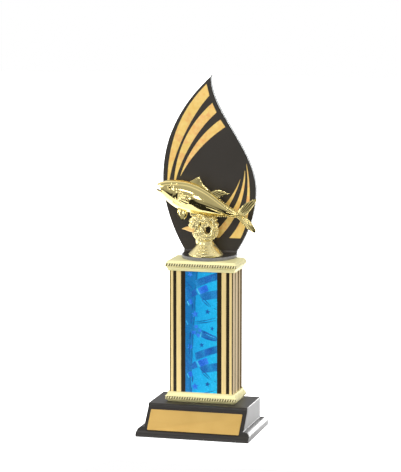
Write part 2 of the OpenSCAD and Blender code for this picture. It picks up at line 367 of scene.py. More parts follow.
def mix_colour(tree, factor, a, b, mode="MIX"):
    """Goes from the first colour to the second as the factor goes from 0 to 1."""
    return add(tree, "ShaderNodeMix", {0: factor, 6: a, 7: b}, data_type="RGBA", blend_type=mode)[2]


def noise(tree, vector, scale, detail=3.0):
    """Cloudy noise; a larger scale is finer."""
    return add(tree, "ShaderNodeTexNoise", {"Vector": vector, "Scale": scale, "Detail": detail})[0]


def spread(tree, value, low, high, from_low=0.3, from_high=0.7):
    """Maps a value onto a range. Noise keeps between 0.3 and 0.7 nearly everywhere."""
    return add(tree, "ShaderNodeMapRange", {0: value, 1: from_low, 2: from_high, 3: low, 4: high})[0]


def mottled(tree, place, scale, low, high):
    """A cloudy value between two levels."""
    return spread(tree, noise(tree, place, scale), low, high)


def stretched(tree, place, scale):
    """The place with its axes scaled."""
    return add(tree, "ShaderNodeMapping", {"Vector": place, "Scale": scale})[0]


def shaded(tree, colour, level):
    """The colour made lighter or darker by a level."""
    grey = add(tree, "ShaderNodeCombineColor", {0: level, 1: level, 2: level})[0]
    return mix_colour(tree, 1.0, colour, grey, "MULTIPLY")


def ramp(tree, value, stops, blend="LINEAR"):
    """A ramp through stops of (position, colour)."""
    node = tree.nodes.new("ShaderNodeValToRGB")
    feed(tree, node, {0: value})
    node.color_ramp.interpolation = blend
    for k, (position, colour) in enumerate(stops):
        if k < 2:
            stop = node.color_ramp.elements[k]
            stop.position = position
        else:
            stop = node.color_ramp.elements.new(position)
        stop.color = colour
    return node.outputs[0]


def new_material(name):
    """A fresh material: its tree, its main shader and the object coordinates."""
    material = bpy.data.materials.new(name)
    material.use_nodes = True
    tree = material.node_tree
    place = add(tree, "ShaderNodeTexCoord")["Object"]
    return material, tree, tree.nodes["Principled BSDF"], place


def relief(tree, height, depth):
    """The normal of bumps of this depth, in millimetres."""
    return add(tree, "ShaderNodeBump", {"Height": height, "Distance": depth * MM, "Strength": 1.0})[0]


def finish_of(name, colour, rough, metal=0.0, grain=300.0, tint=0.08, rough_vary=0.05,
              bump=0.02, stretch=(1, 1, 1)):
    """A plain finish with slight variation of colour and gloss, and a fine surface grain."""
    material, tree, shader, place = new_material(name)
    turned = stretched(tree, place, stretch)
    cloud = noise(tree, turned, grain * 0.2)
    darker = tuple(c * (1 - tint) for c in colour[:3]) + (1,)
    lighter = tuple(min(c * (1 + tint), 1.0) for c in colour[:3]) + (1,)
    feed(tree, shader, {
        "Base Color": mix_colour(tree, spread(tree, cloud, 0, 1), darker, lighter),
        "Roughness": spread(tree, cloud, rough - rough_vary, rough + rough_vary),
        "Metallic": metal,
        "Normal": relief(tree, noise(tree, turned, grain * 4, 2.0), bump)})
    return material


# ---- Finishes ----

BROAD_RUN = 32
NARROW_RUN = 36


def stripes(tree, distance, bands, total):
    """Hard-edged bands; each starts at its distance, in millimetres, out of the total."""
    share = math_node(tree, "MULTIPLY", distance, 1 / (total * MM))
    return ramp(tree, share, [(start / total, colour) for start, colour in bands], "CONSTANT")


def wrap_material():
    """Gilt and black foil stripes: one rule for the broad faces and one for the narrow ones."""
    material, tree, shader, place = new_material("striped foil")
    parts = add(tree, "ShaderNodeSeparateXYZ", {0: place})
    across = math_node(tree, "ABSOLUTE", parts[0])
    depth = math_node(tree, "SUBTRACT", parts[1], wrap_low.y * MM)
    black = linear(42, 34, 20)
    gold = linear(252, 225, 158)
    brown = linear(118, 98, 68)
    pale = linear(244, 222, 184)
    broad = stripes(tree, across, [(0, black), (19.8, gold), (24.3, black), (27.5, gold),
                                   (29.9, black)], BROAD_RUN)
    narrow = stripes(tree, depth, [(0, pale), (6.0, brown), (8.6, pale), (16.6, brown),
                                   (21.6, pale), (26.2, brown), (33.6, pale)], NARROW_RUN)
    is_side = math_node(tree, "GREATER_THAN", across, (COL_HALF_W - 0.35) * MM)
    colour = mix_colour(tree, is_side, broad, narrow)
    brushed = noise(tree, stretched(tree, place, (1, 1, 0.05)), 900)
    red = add(tree, "ShaderNodeSeparateColor", {0: colour})[0]
    is_gold = spread(tree, red, 0, 1, 0.1, 0.5)
    feed(tree, shader, {
        "Base Color": shaded(tree, colour, spread(tree, brushed, 0.93, 1.05)),
        "Metallic": math_node(tree, "MULTIPLY", is_gold, spread(tree, is_side, 0.45, 0.0, 0, 1)),
        "Roughness": spread(tree, is_gold, 0.35, 0.45, 0, 1),
        "Specular IOR Level": 0.0,
        "Coat Weight": spread(tree, is_side, 0.5, 0.0, 0, 1),
        "Coat Roughness": 0.3,
        "Normal": relief(tree, noise(tree, place, 260, 2.0), 0.03)})
    return material


# Blues across the film, from its left edge to its right
FILM_STOPS = [(0.0, (0, 124, 196)), (0.09, (0, 132, 204)), (0.15, (0, 106, 172)), (0.17, (6, 172, 240)),
              (0.45, (12, 186, 250)), (0.75, (20, 196, 255)), (1.0, (36, 204, 255))]
FILM_HALF_RUN = 0.0155


def film_material():
    """Blue film: darker down its left edge, brighter to the right, with faint clouding."""
    material, tree, shader, place = new_material("blue film")
    parts = add(tree, "ShaderNodeSeparateXYZ", {0: place})
    cloud = math_node(tree, "SUBTRACT", noise(tree, place, 60, 2.0), 0.5)
    wobble = math_node(tree, "MULTIPLY", cloud, 0.004)
    height = math_node(tree, "SUBTRACT", parts[2], SHOW_Z0 * MM)
    lean = math_node(tree, "MULTIPLY", height, 0.06)
    across = math_node(tree, "SUBTRACT", math_node(tree, "ADD", parts[0], wobble), lean)
    share = spread(tree, across, 0.0, 1.0, -FILM_HALF_RUN, FILM_HALF_RUN)
    blue = ramp(tree, share, [(position, linear(*colour)) for position, colour in FILM_STOPS])
    feed(tree, shader, {
        "Base Color": shaded(tree, blue, mottled(tree, place, 90, 0.98, 1.02)),
        "Roughness": mottled(tree, place, 200, 0.24, 0.3),
        "Metallic": 0.15,
        "Normal": relief(tree, noise(tree, place, 300, 2.0), 0.002)})
    return material


def foil_inlay(name, dark, light):
    """Pressed film inlay whose tone runs between two blues in soft slanting bands."""
    material, tree, shader, place = new_material(name)
    parts = add(tree, "ShaderNodeSeparateXYZ", {0: place})
    run = math_node(tree, "ADD", math_node(tree, "MULTIPLY", parts[0], 420),
                    math_node(tree, "MULTIPLY", parts[2], 160))
    wave = math_node(tree, "ADD", math_node(tree, "SINE", run), mottled(tree, place, 220, -0.6, 0.6))
    level = spread(tree, wave, 0, 1, -1.1, 1.1)
    feed(tree, shader, {
        "Base Color": mix_colour(tree, level, linear(*dark), linear(*light)),
        "Roughness": mottled(tree, place, 900, 0.2, 0.35),
        "Metallic": 0.15,
        "Normal": relief(tree, noise(tree, place, 300, 2.0), 0.002)})
    return material


def streak_material():
    """Gilt leaf with warm facet patches."""
    material, tree, shader, place = new_material("facet leaf")
    cells = add(tree, "ShaderNodeTexVoronoi", {"Vector": place, "Scale": 110.0}, feature="F1")["Color"]
    parts = add(tree, "ShaderNodeSeparateColor", {0: cells})
    warm = mix_colour(tree, spread(tree, parts[0], 0, 1, 0.35, 0.8),
                      linear(246, 204, 108), linear(244, 180, 104))
    feed(tree, shader, {
        "Base Color": mix_colour(tree, mottled(tree, place, 260, 0, 0.8), warm, linear(252, 220, 136)),
        "Roughness": spread(tree, parts[1], 0.28, 0.5, 0, 1),
        "Metallic": 0.15,
        "Normal": relief(tree, parts[2], 0.03)})
    return material


SHEET_IOR = 1.49


def acrylic_material():
    """Clear cast sheet with a trace of blue."""
    material, tree, shader, place = new_material("clear sheet")
    cloud = noise(tree, place, 80)
    feed(tree, shader, {
        "Base Color": mix_colour(tree, spread(tree, cloud, 0, 1), (0.93, 0.97, 0.98, 1),
                                 (0.97, 0.99, 1, 1)),
        "Roughness": spread(tree, cloud, 0.015, 0.04),
        "Transmission Weight": 1.0,
        "IOR": SHEET_IOR})
    return material


def rim_material():
    """The sheet's sawn edge: it takes up the print's grey above, and its lighter grey round the foot is a
    painted highlight.
    """
    material, tree, shader, place = new_material("sheet edge")
    cloud = noise(tree, place, 400)
    height = add(tree, "ShaderNodeSeparateXYZ", {0: place})[2]
    rise = spread(tree, height, 0, 1, (BEND_Z - 2) * MM, (BEND_Z + 2) * MM)
    # The lighter grey below the bend is a painted highlight along the foot's edge.
    edge = mix_colour(tree, rise, (0.2, 0.2, 0.21, 1), (0.13, 0.13, 0.12, 1))
    feed(tree, shader, {
        "Base Color": mix_colour(tree, spread(tree, cloud, 0, 0.1), edge, (1, 1, 1, 1)),
        "Roughness": spread(tree, cloud, 0.3, 0.45),
        "Transmission Weight": 0.2,
        "IOR": SHEET_IOR,
        "Normal": relief(tree, noise(tree, place, 1500), 0.01)})
    return material


def plate_material():
    """Satin gilt plate, brushed along its width."""
    material, tree, shader, place = new_material("brushed plate")
    brushed = noise(tree, stretched(tree, place, (0.04, 1, 1)), 2600, 4.0)
    base = mix_colour(tree, mottled(tree, place, 45, 0, 1), linear(206, 165, 88), linear(216, 177, 99))
    feed(tree, shader, {
        "Base Color": mix_colour(tree, spread(tree, brushed, 0, 0.35), base, linear(216, 180, 106)),
        "Roughness": spread(tree, brushed, 0.4, 0.5),
        "Metallic": 0.5,
        "Normal": relief(tree, brushed, 0.01)})
    return material


figure_finish = finish_of("figure gilt", (0.94, 0.785, 0.34, 1), 0.09, metal=1.0, grain=500, tint=0.03,
                          rough_vary=0.0225, bump=0.004)
weed_finish = finish_of("cast gilt", (0.93, 0.80, 0.39, 1), 0.24, metal=0.8, grain=900, tint=0.03,
                        bump=0.004)
copper_finish = finish_of("copper tint gilt", linear(252, 206, 128), 0.32, metal=0.4, grain=500, tint=0.05,
                          bump=0.005)
cap_finish = finish_of("cap gilt", (0.94, 0.87, 0.46, 1), 0.4, metal=0.26, grain=500, tint=0.03,
                       bump=0.003)
# Painted shade: a near-black gilt for the caps' rope channel, where shade falls between the beads.
channel_shade_finish = finish_of("painted shade gilt", (0.12, 0.085, 0.022, 1), 0.5, metal=0.3, grain=500, bump=0.003)
bead_finish = finish_of("bead gilt", (0.98, 0.91, 0.54, 1), 0.34, metal=0.2, grain=500, tint=0.03,
                        bump=0.003)
base_finish = finish_of("satin black moulding", linear(36, 32, 28), 0.36, grain=120, tint=0.1,
                        rough_vary=0.02, bump=0.001)
print_finish = finish_of("charcoal print", linear(54, 50, 45), 0.3, grain=120, tint=0.03,
                         rough_vary=0.02, bump=0.0002)
# A near-black gilt for the pupils; inside the mouth and in the nostrils it is painted shade.
dark_eye_and_shade_finish = finish_of("dark eye and painted shade", linear(70, 48, 16), 0.12, metal=0.8, grain=800, bump=0.004)


# ---- Base and plaque ----

BODY_HALF_W = 48.5
BODY_BACK = 34.5
TOE_OUT = base_high.x - BODY_HALF_W
TOE_H = 8.5
TOE_ROUND = 4.6
SHELL_WALL = 2.2
LIP_Y = -19.1
LIP_R = 2.5
LIP_Z = base_high.z - 3.5
SLOPE_Y = -37.2
SLOPE_Z = 4.8
SLOPE_ANGLE = math.atan2(LIP_Z - SLOPE_Z, LIP_Y - SLOPE_Y)
TOP_ROUND = 0.6
BOSS_R = 7
BOSS_Z = 16
OUTER_CORNER_R = 0.9
INNER_CORNER_R = 0.6
# Heights of the body's rings above the toe, closer together at the lip's round
BODY_LEVELS = (12, 18, LIP_Z, base_high.z - LIP_R, 26.6, 27.2, 27.6)
# Heights and front edge of the base: toe, foot of the slope, lip
FRONT_LINE = [(0, base_low.y), (2.0, base_low.y), (2.6, base_low.y + 0.2), (3.9, -39.5), (4.3, -38.8),
              (SLOPE_Z, SLOPE_Y), (LIP_Z, LIP_Y), (base_high.z - LIP_R, LIP_Y)]


def base_front(z):
    """Front edge of the base at a height: toe, slope, lip and its round."""
    round_z = base_high.z - LIP_R
    if z >= round_z:
        rise = min(z - round_z, LIP_R)
        return LIP_Y + LIP_R - math.sqrt(LIP_R ** 2 - rise ** 2)
    for (z0, y0), (z1, y1) in zip(FRONT_LINE, FRONT_LINE[1:]):
        if z <= z1:
            return y0 + (y1 - y0) * (z - z0) / (z1 - z0)
    return LIP_Y


def toe_levels():
    """Height and outward step of the side moulding, from the floor to the panel above it."""
    levels = [(0.0, TOE_OUT - 0.3), (0.3, TOE_OUT), (2.0, TOE_OUT), (2.6, TOE_OUT)]
    centre_z = TOE_H - TOE_ROUND
    for i in range(13):
        angle = math.radians(90 * i / 12)
        levels.append((centre_z + TOE_ROUND * math.sin(angle),
                       TOE_OUT - TOE_ROUND + TOE_ROUND * math.cos(angle)))
    return levels + [(8.52, 1.2), (8.54, 0.25), (8.62, -0.25), (9.0, -0.4), (9.4, -0.25), (9.5, 0.0)]


def base_piece():
    """The weighted base's shell, with its toe moulding, rounded lip, cavity and rod boss."""
    levels = toe_levels()
    levels += [(z, 0.0) for z in BODY_LEVELS]
    for i in range(7):
        angle = math.radians(90 * i / 6)
        levels.append((base_high.z - TOP_ROUND + TOP_ROUND * math.sin(angle),
                       TOP_ROUND * (math.cos(angle) - 1)))
    rings = []
    for z, k in levels:
        half = BODY_HALF_W + k
        rings.append(box_ring(-half, half, base_front(z), BODY_BACK + k, z, OUTER_CORNER_R))
    inner_x = BODY_HALF_W - SHELL_WALL
    back = BODY_BACK - SHELL_WALL
    shift = SHELL_WALL / math.sin(SLOPE_ANGLE)
    ceiling = base_high.z - SHELL_WALL
    rings += [round_ring(ROD_HOLE_R, z) for z in (base_high.z, BOSS_Z)]
    rings += [round_ring(BOSS_R, z) for z in (BOSS_Z, ceiling)]
    for z, front in ((ceiling, LIP_Y), (LIP_Z, LIP_Y), (SLOPE_Z, SLOPE_Y), (0, SLOPE_Y)):
        rings.append(box_ring(-inner_x, inner_x, front + shift, back, z, INNER_CORNER_R))
    form = Form()
    form.loft(rings, closed=True)
    piece = form.make("base_moulding", base_finish, CRISP)
    fit(piece, "base_plastic", "base_shell")
    return piece


def plaque_piece():
    """The gilt name plate on the slope, blank, with its edges turned down."""
    half_w = node_box("plaque")[1].x
    height = 22.5
    start = 1.4
    under = 0.3
    corner_r = 0.9
    form = Form()
    profile = [(0.05, 0.0), (0.0, 0.05), (0.0, 0.3), (0.1, 0.48), (0.35, 0.6)]
    form.loft([box_ring(-half_w + inset, half_w - inset, start + inset, start + height - inset,
                        under + z, corner_r) for inset, z in profile])
    slope = Matrix.Translation((0, SLOPE_Y, SLOPE_Z)) @ Matrix.Rotation(SLOPE_ANGLE, 4, "X")
    fit(form.make("name_plate", plate_material(), CRISP, slope), "plate_gold", "plaque")


# ---- Caps with their rope band ----

CAP_CORNER_R = 0.8
CAP_CRISP = 28
CAP_FLOOR_T = 3
CAP_GAP = 0.1
CHANNEL_Z = 5.7
CHANNEL_HALF = 1.2
ROPE_OUT = 3.05


def cap_profile():
    """Steps outwards from the column and upwards from the side that the column enters."""
    cove = curve((1.65, 1.45), (1.8, 2.7), (2.6, 3.7), (3.35, 3.95), 8)
    ogee = curve((3.25, 7.4), (2.4, 7.5), (2.1, 8.9), (1.45, 9.25), 8)
    return ([(0.1, 0.0), (1.35, 0.0), (1.5, 0.15), (1.5, 1.3)] + cove
            + [(3.5, 4.08), (3.5, 4.32), (3.0, 4.5), (3.0, 6.95), (3.45, 7.05), (3.45, 7.25)]
            + ogee + [(1.35, 9.45), (1.2, CAP_H)])


def cap_piece(name, node, start_z, way):
    """One cap. way is 1 when the column enters from below and -1 from above."""
    floor_z = CAP_H - CAP_FLOOR_T
    rings = [column_ring(k, start_z + way * z, CAP_CORNER_R) for k, z in cap_profile()]
    rings += [round_ring(ROD_HOLE_R, start_z + way * z) for z in (CAP_H, floor_z)]
    rings.append(column_ring(CAP_GAP, start_z + way * floor_z, CAP_CORNER_R))
    form = Form()
    form.loft(rings, closed=True)
    piece = form.make(name, cap_finish, CAP_CRISP)
    # The channel's outer faces take the near-black gilt: painted shade between the beads.
    piece.data.materials.append(channel_shade_finish)
    channel_z = (start_z + way * CHANNEL_Z) * MM
    for face in piece.data.polygons:
        across = abs(face.center.x) > COL_HALF_W * MM
        outside = across or abs(face.center.y - AXIS_Y * MM) > COL_HALF_D * MM
        if outside and abs(face.center.z - channel_z) < CHANNEL_HALF * MM:
            face.material_index = 1
    fit(piece, "cap_gold", node)


def bead_tree():
    """Geometry nodes that set slanted beads along a path, facing along it."""
    tree = bpy.data.node_groups.new("row of beads", "GeometryNodeTree")
    sockets = [("Path", "NodeSocketGeometry"), ("Spacing", "NodeSocketFloat"),
               ("Bead Size", "NodeSocketVector"), ("Slant", "NodeSocketFloat"),
               ("Finish", "NodeSocketMaterial")]
    for label, kind in sockets:
        tree.interface.new_socket(label, in_out="INPUT", socket_type=kind)
    tree.interface.new_socket("Beads", in_out="OUTPUT", socket_type="NodeSocketGeometry")
    given = add(tree, "NodeGroupInput")
    line = add(tree, "GeometryNodeMeshToCurve", {0: given["Path"]})[0]
    places = add(tree, "GeometryNodeResampleCurve", {"Curve": line, "Length": given["Spacing"]},
                 mode="LENGTH")[0]
    ball = add(tree, "GeometryNodeMeshUVSphere", {"Segments": 10, "Rings": 7, "Radius": 0.5})[0]
    turn = add(tree, "ShaderNodeCombineXYZ", {1: given["Slant"]})[0]
    sized = add(tree, "GeometryNodeTransform", {"Geometry": ball, "Scale": given["Bead Size"]})[0]
    bead = add(tree, "GeometryNodeTransform", {"Geometry": sized, "Rotation": turn})[0]
    tangent = add(tree, "GeometryNodeInputTangent")[0]
    along = add(tree, "FunctionNodeAlignRotationToVector", {"Vector": tangent}, axis="X", pivot_axis="Z")[0]
    placed = add(tree, "GeometryNodeInstanceOnPoints",
                 {"Points": places, "Instance": bead, "Rotation": along})[0]
    real = add(tree, "GeometryNodeRealizeInstances", {0: placed})[0]
    smooth = add(tree, "GeometryNodeSetShadeSmooth", {0: real})[0]
    dressed = add(tree, "GeometryNodeSetMaterial", {0: smooth, "Material": given["Finish"]})[0]
    add(tree, "NodeGroupOutput", {0: dressed})
    return tree


bead_rows = bead_tree()


def bead_piece(name, paths, closed, spacing, size, slant, material, place=None):
    """Beads along each path, as one plain mesh."""
    place = place or Matrix()
    points = []
    edges = []
    for path in paths:
        first = len(points)
        count = len(path)
        points += [(place @ Vector(p)) * MM for p in path]
        links = count if closed else count - 1
        edges += [(first + i, first + (i + 1) % count) for i in range(links)]
    mesh = bpy.data.meshes.new(name)
    mesh.from_pydata(points, edges, [])
    piece = show(name, mesh)
    beads = piece.modifiers.new("beads", "NODES")
    beads.node_group = bead_rows
    values = {"Spacing": spacing * MM, "Bead Size": [side * MM for side in size], "Slant": slant,
              "Finish": material}
    for item in bead_rows.interface.items_tree:
        if item.in_out == "INPUT" and item.name in values:
            beads[item.identifier] = values[item.name]
    return settle(piece)


def rope_piece(name, z):
    """The rope band round a cap: slanted beads in the channel."""
    path = column_ring(ROPE_OUT, z, 1.2)
    piece = bead_piece(name, [path], True, 2.5, (1.4, 1.4, 2.9), 0.5, bead_finish)
    fit(piece, "cap_gold")


# ---- Foil inlays on the blue film ----

FILM_PERIOD = 70.0
FILM_RIM = 0.05
SUNK = 0.005
PROUD = 0.02
PROUD_STEP = 0.01


def star(across, down, radius, turn):
    """A five-pointed star's outline."""
    points = []
    for i in range(10):
        reach = radius if i % 2 == 0 else radius * 0.42
        angle = math.radians(turn + 36 * i)
        points.append((across + reach * math.sin(angle), down - reach * math.cos(angle)))
    return points


def stroke(start, end, width, bow=0.0):
    """A thin line's outline, bowed sideways in its middle."""
    a, b = Vector(start), Vector(end)
    side = Vector((-(b - a).y, (b - a).x)).normalized()
    one = []
    other = []
    for i in range(9):
        t = i / 8
        middle = a.lerp(b, t) + side * bow * 4 * t * (1 - t)
        half = width / 2 * math.sin(math.pi * (0.08 + 0.84 * t))
        one.append(middle + side * half)
        other.append(middle - side * half)
    return [tuple(p) for p in one + other[::-1]]


def ribbon(upper, lower, steps=8):
    """A band's outline between its upper edge and its lower edge, drawn backwards."""
    return curve(*upper, steps) + curve(*lower, steps)


# Outlines as (across the film, down from its top), for one repeat of the pattern
RIBBONS = [
    ribbon([(-6.2, 8.6), (-1, 6.2), (6, 3.2), (15.5, 0.4)],
           [(15.5, 7.6), (9, 9.6), (2, 12.6), (-5, 15.5)]),
    ribbon([(-1.8, 21.8), (4, 19.4), (9, 18.2), (15.5, 17.2)],
           [(15.5, 25), (10, 26), (6, 26.8), (1.2, 27.8)]),
    [(-15.5, 16.5), (-13, 14.6), (-10, 19.8), (-8.2, 24.2), (-12, 26.4), (-15.5, 27.6)],
    ribbon([(-8.6, 51.2), (-3, 53.6), (6, 59.5), (15.5, 62.2)],
           [(15.5, 66), (8, 65.5), (2, 62.8), (-8.2, 59.8)]),
]
DEEP_RIBBONS = [
    [(-9.6, 19.6), (-5.9, 16.3), (-3.3, 22.4), (-8.8, 24.6)],
    [(3.2, 5.2), (11.4, 2.2), (9.6, 9), (3.6, 11.4)],
    ribbon([(2.6, 56.6), (6, 58), (10, 60), (14.5, 61.8)],
           [(14.5, 63), (10, 62), (6, 60.6), (2.2, 59.2)], 6),
    ribbon([(0.3, 61.6), (5, 63.6), (10, 65.2), (14.5, 65.4)],
           [(14.5, 66.2), (10, 66.4), (5, 65), (0.1, 63)], 6),
]
PATCHES = [
    [(-3.8, 16.4), (5.2, 12.4), (7.6, 18.0), (-0.6, 21.8)],
    [(-13, 28.0), (-9.4, 26.4), (-8.2, 31.2), (-11.2, 32.4)],
    [(-6.4, 51.6), (-3.0, 51.4), (-3.6, 54.4), (-6.2, 54.6)],
    [(-2.6, 54.6), (0.4, 55.6), (-0.2, 58.2), (-2.6, 57.6)],
    [(-9.2, 57.4), (-5.4, 57.2), (-5.2, 60.6), (-9.0, 60.2)],
    [(-4.4, 59.2), (-1.0, 60.2), (-1.8, 63.6), (-4.6, 62.2)],
    star(-6, 41.1, 3.9, -6),
    star(-10.8, 3.05, 3.2, 180),
]
GLINTS = [
    [(-4.9, 16.8), (-3.7, 16.3), (-0.6, 21.8), (-1.9, 22.2)],
    [(-14.2, 29.2), (-13.2, 28.6), (-11.3, 32.6), (-12.4, 33.2)],
    [(-15.2, 48.0), (-14.2, 47.4), (-12.6, 51.4), (-13.6, 52.2)],
    [(-0.4, 58.6), (0.8, 58.2), (-0.6, 63.0), (-1.6, 63.6)],
    stroke((3.6, 59.2), (13.6, 63.0), 0.9, 0.3),
]
DARK_MARKS = [
    stroke((-14.6, 10.2), (-8.4, 17.0), 0.75),
    stroke((-2.4, 22.0), (9.6, 33.2), 0.8, -0.4),
    stroke((0.6, 27.4), (8.2, 33.6), 0.75),
    stroke((12.4, 34.4), (15.0, 36.0), 0.6),
    stroke((-7.2, 48.6), (14.6, 43.6), 0.8, 0.7),
    stroke((-5.8, 49.8), (14.6, 46.2), 0.8, 0.6),
    stroke((-8.3, 30.6), (-8.7, 37.2), 1.3),
    stroke((-9.4, 42.0), (-9.8, 50.6), 1.3),
    stroke((-10.6, 58.0), (-11.0, 66.4), 1.3),
    stroke((-11.0, 67.8), (-11.6, 80.6), 1.3),
    star(6.2, 38.3, 2.9, 8),
    star(10.7, 54.2, 2.3, 14),
    star(0.5, 70.6, 2.6, -10),
]


def clipped(outline):
    """The part of an outline that lies on the film, or nothing."""
    half = film_high.x - FILM_RIM
    limits = [(0, -1, -half), (0, 1, half), (1, -1, FILM_RIM), (1, 1, SHOW_Z1 - SHOW_Z0 - FILM_RIM)]
    for k, sign, limit in limits:
        kept = []
        for p, q in zip(outline, outline[1:] + outline[:1]):
            p_in = sign * (p[k] - limit) <= 0
            q_in = sign * (q[k] - limit) <= 0
            if p_in:
                kept.append(p)
            if p_in != q_in:
                t = (limit - p[k]) / (q[k] - p[k])
                kept.append((p[0] + (q[0] - p[0]) * t, p[1] + (q[1] - p[1]) * t))
        outline = kept
        if len(outline) < 3:
            return []
    return outline


def inlay_piece(name, outlines, material, proud):
    """Thin foil shapes pressed on the front film and, turned round, on the back film."""
    form = Form()
    for shift in (0, FILM_PERIOD):
        for outline in outlines:
            shape = clipped([(p, q + shift) for p, q in outline])
            if not shape:
                continue
            for side in (-1, 1):
                skin = AXIS_Y + side * (COL_HALF_D + FILM_T)
                near = [Vector((-side * p, skin - side * SUNK, SHOW_Z1 - q)) for p, q in shape]
                far = [Vector((p.x, skin + side * proud, p.z)) for p in near]
                form.loft([near, far])
    fit(form.make(name, material, CRISP), "blue_film")


# Each layer's piece, outlines, finish and its two blues. Each stands a little prouder than the last
INLAYS = [("foil_ribbons", RIBBONS, "ribbon blue", (14, 112, 192), (26, 146, 218)),
          ("foil_deep_ribbons", DEEP_RIBBONS, "deep blue", (16, 90, 178), (28, 118, 208)),
          ("foil_patches", PATCHES, "violet blue", (28, 108, 230), (56, 144, 255)),
          ("foil_glints", GLINTS, "light blue", (40, 176, 244), (84, 214, 255)),
          ("foil_marks", DARK_MARKS, "mark blue", (2, 76, 158), (8, 100, 186))]


def inlay_pieces():
    """All the film's inlays, each layer with its own blues."""
    for layer, (name, outlines, finish_name, dark, light) in enumerate(INLAYS):
        inlay_piece(name, outlines, foil_inlay(finish_name, dark, light), PROUD + PROUD_STEP * layer)


# ---- Flame ----

BEND_R = 3.0
BEND_Y = FLAME_Y - BEND_R
BEND_Z = CAP_TOP + SHEET_T + BEND_R
BEND_HALF_W = 26.5
FOOT_FRONT = flame_low.y
BEND_RUN = math.pi / 2 * BEND_R
TIP = (0.6, flame_high.z)
EDGE_INSET = 0.3
PRINT_GAP = 0.01
HOLE_SIDES = 32
BEND_ROWS = 10
LEFT_X = -47.4
RIGHT_X = 44.8


def flame_outline():
    """The flat sheet's outline: across, and the distance from the bend along the sheet."""
    left, right = (-BEND_HALF_W, BEND_Z), (BEND_HALF_W, BEND_Z)
    up = (curve(left, (-35, 184), (LEFT_X, 212), (LEFT_X, 238), 28)
          + curve((LEFT_X, 238), (LEFT_X, 274), (-33, 307), TIP, 40)[1:]
          + curve(TIP, (-2, 305), (RIGHT_X, 268), (RIGHT_X, 228), 44)[1:]
          + curve((RIGHT_X, 228), (RIGHT_X, 205), (36.5, 186), right, 28)[1:])
    front = (0, FOOT_FRONT)
    foot = (curve((BEND_HALF_W, BEND_Y), (BEND_HALF_W, AXIS_Y), (17, FOOT_FRONT), front, 24)
            + curve(front, (-17, FOOT_FRONT), (-BEND_HALF_W, AXIS_Y), (-BEND_HALF_W, BEND_Y), 24)[1:])
    return [(x, BEND_RUN + z - BEND_Z) for x, z in up] + [(x, y - BEND_Y) for x, y in foot]


def shrunk(outline, inset):
    """The outline moved inwards, square to its own line."""
    moved = []
    count = len(outline)
    for i, (x, y) in enumerate(outline):
        px, py = outline[i - 1]
        nx, ny = outline[(i + 1) % count]
        run = Vector((nx - px, ny - py)).normalized()
        moved.append((x + run.y * inset, y - run.x * inset))
    return moved


def on_sheet(x, along, depth):
    """A point of the bent sheet, at a depth behind its front face."""
    if along < 0:
        return Vector((x, BEND_Y + along, CAP_TOP + SHEET_T - depth))
    if along < BEND_RUN:
        angle = along / BEND_R
        reach = BEND_R + depth
        return Vector((x, BEND_Y + reach * math.sin(angle), BEND_Z - reach * math.cos(angle)))
    return Vector((x, FLAME_Y + depth, BEND_Z + along - BEND_RUN))


def sheet_face(outline):
    """The flat sheet, meshed, with its hole for the tie rod and with rows of edges at the bend."""
    hole = [(ROD_HOLE_R * math.cos(a), AXIS_Y - BEND_Y + ROD_HOLE_R * math.sin(a))
            for a in [2 * math.pi * i / HOLE_SIDES for i in range(HOLE_SIDES)]]
    flat = bmesh.new()
    for loop in (outline, hole):
        corners = [flat.verts.new((x, y, 0)) for x, y in loop]
        for a, b in zip(corners, corners[1:] + corners[:1]):
            flat.edges.new((a, b))
    bmesh.ops.triangle_fill(flat, use_beauty=True, use_dissolve=False, edges=flat.edges[:])
    for row in [BEND_RUN * i / BEND_ROWS for i in range(BEND_ROWS + 1)]:
        geometry = flat.verts[:] + flat.edges[:] + flat.faces[:]
        bmesh.ops.bisect_plane(flat, geom=geometry, dist=1e-5, plane_co=(0, row, 0), plane_no=(0, 1, 0))
    flat.verts.index_update()
    return flat


def sheet_form(outline, near, far):
    """A layer of the bent sheet between two depths."""
    flat = sheet_face(outline)
    count = len(flat.verts)
    points = [on_sheet(v.co.x, v.co.y, depth) for depth in (near, far) for v in flat.verts]
    faces = []
    for face in flat.faces:
        loop = [v.index for v in face.verts]
        faces.append(loop)
        faces.append([i + count for i in reversed(loop)])
    for edge in flat.edges:
        if len(edge.link_faces) == 1:
            a, b = (v.index for v in edge.verts)
            faces.append([a, b, b + count, a + count])
    flat.free()
    form = Form()
    form.add(points, faces)
    return form


def flame_pieces():
    """The clear bent sheet with its darker edge, and the charcoal print on its front."""
    outline = flame_outline()
    sheet = sheet_form(outline, 0, SHEET_T).make("flame_sheet", acrylic_material(), CRISP)
    rounded(sheet, EDGE_INSET)
    sheet.data.materials.append(rim_material())
    for face in sheet.data.polygons:
        upright = face.center.z > BEND_Z * MM and abs(face.normal.y) < 0.5
        foot = face.center.y < BEND_Y * MM and abs(face.normal.z) < 0.5
        if upright or foot:
            face.material_index = 1
    fit(sheet, "clear_acrylic", "flame_plate")
    layer = sheet_form(shrunk(outline, EDGE_INSET), -FILM_T, -PRINT_GAP)
    fit(layer.make("charcoal_print", print_finish, CRISP), "black_print", "flame_print")


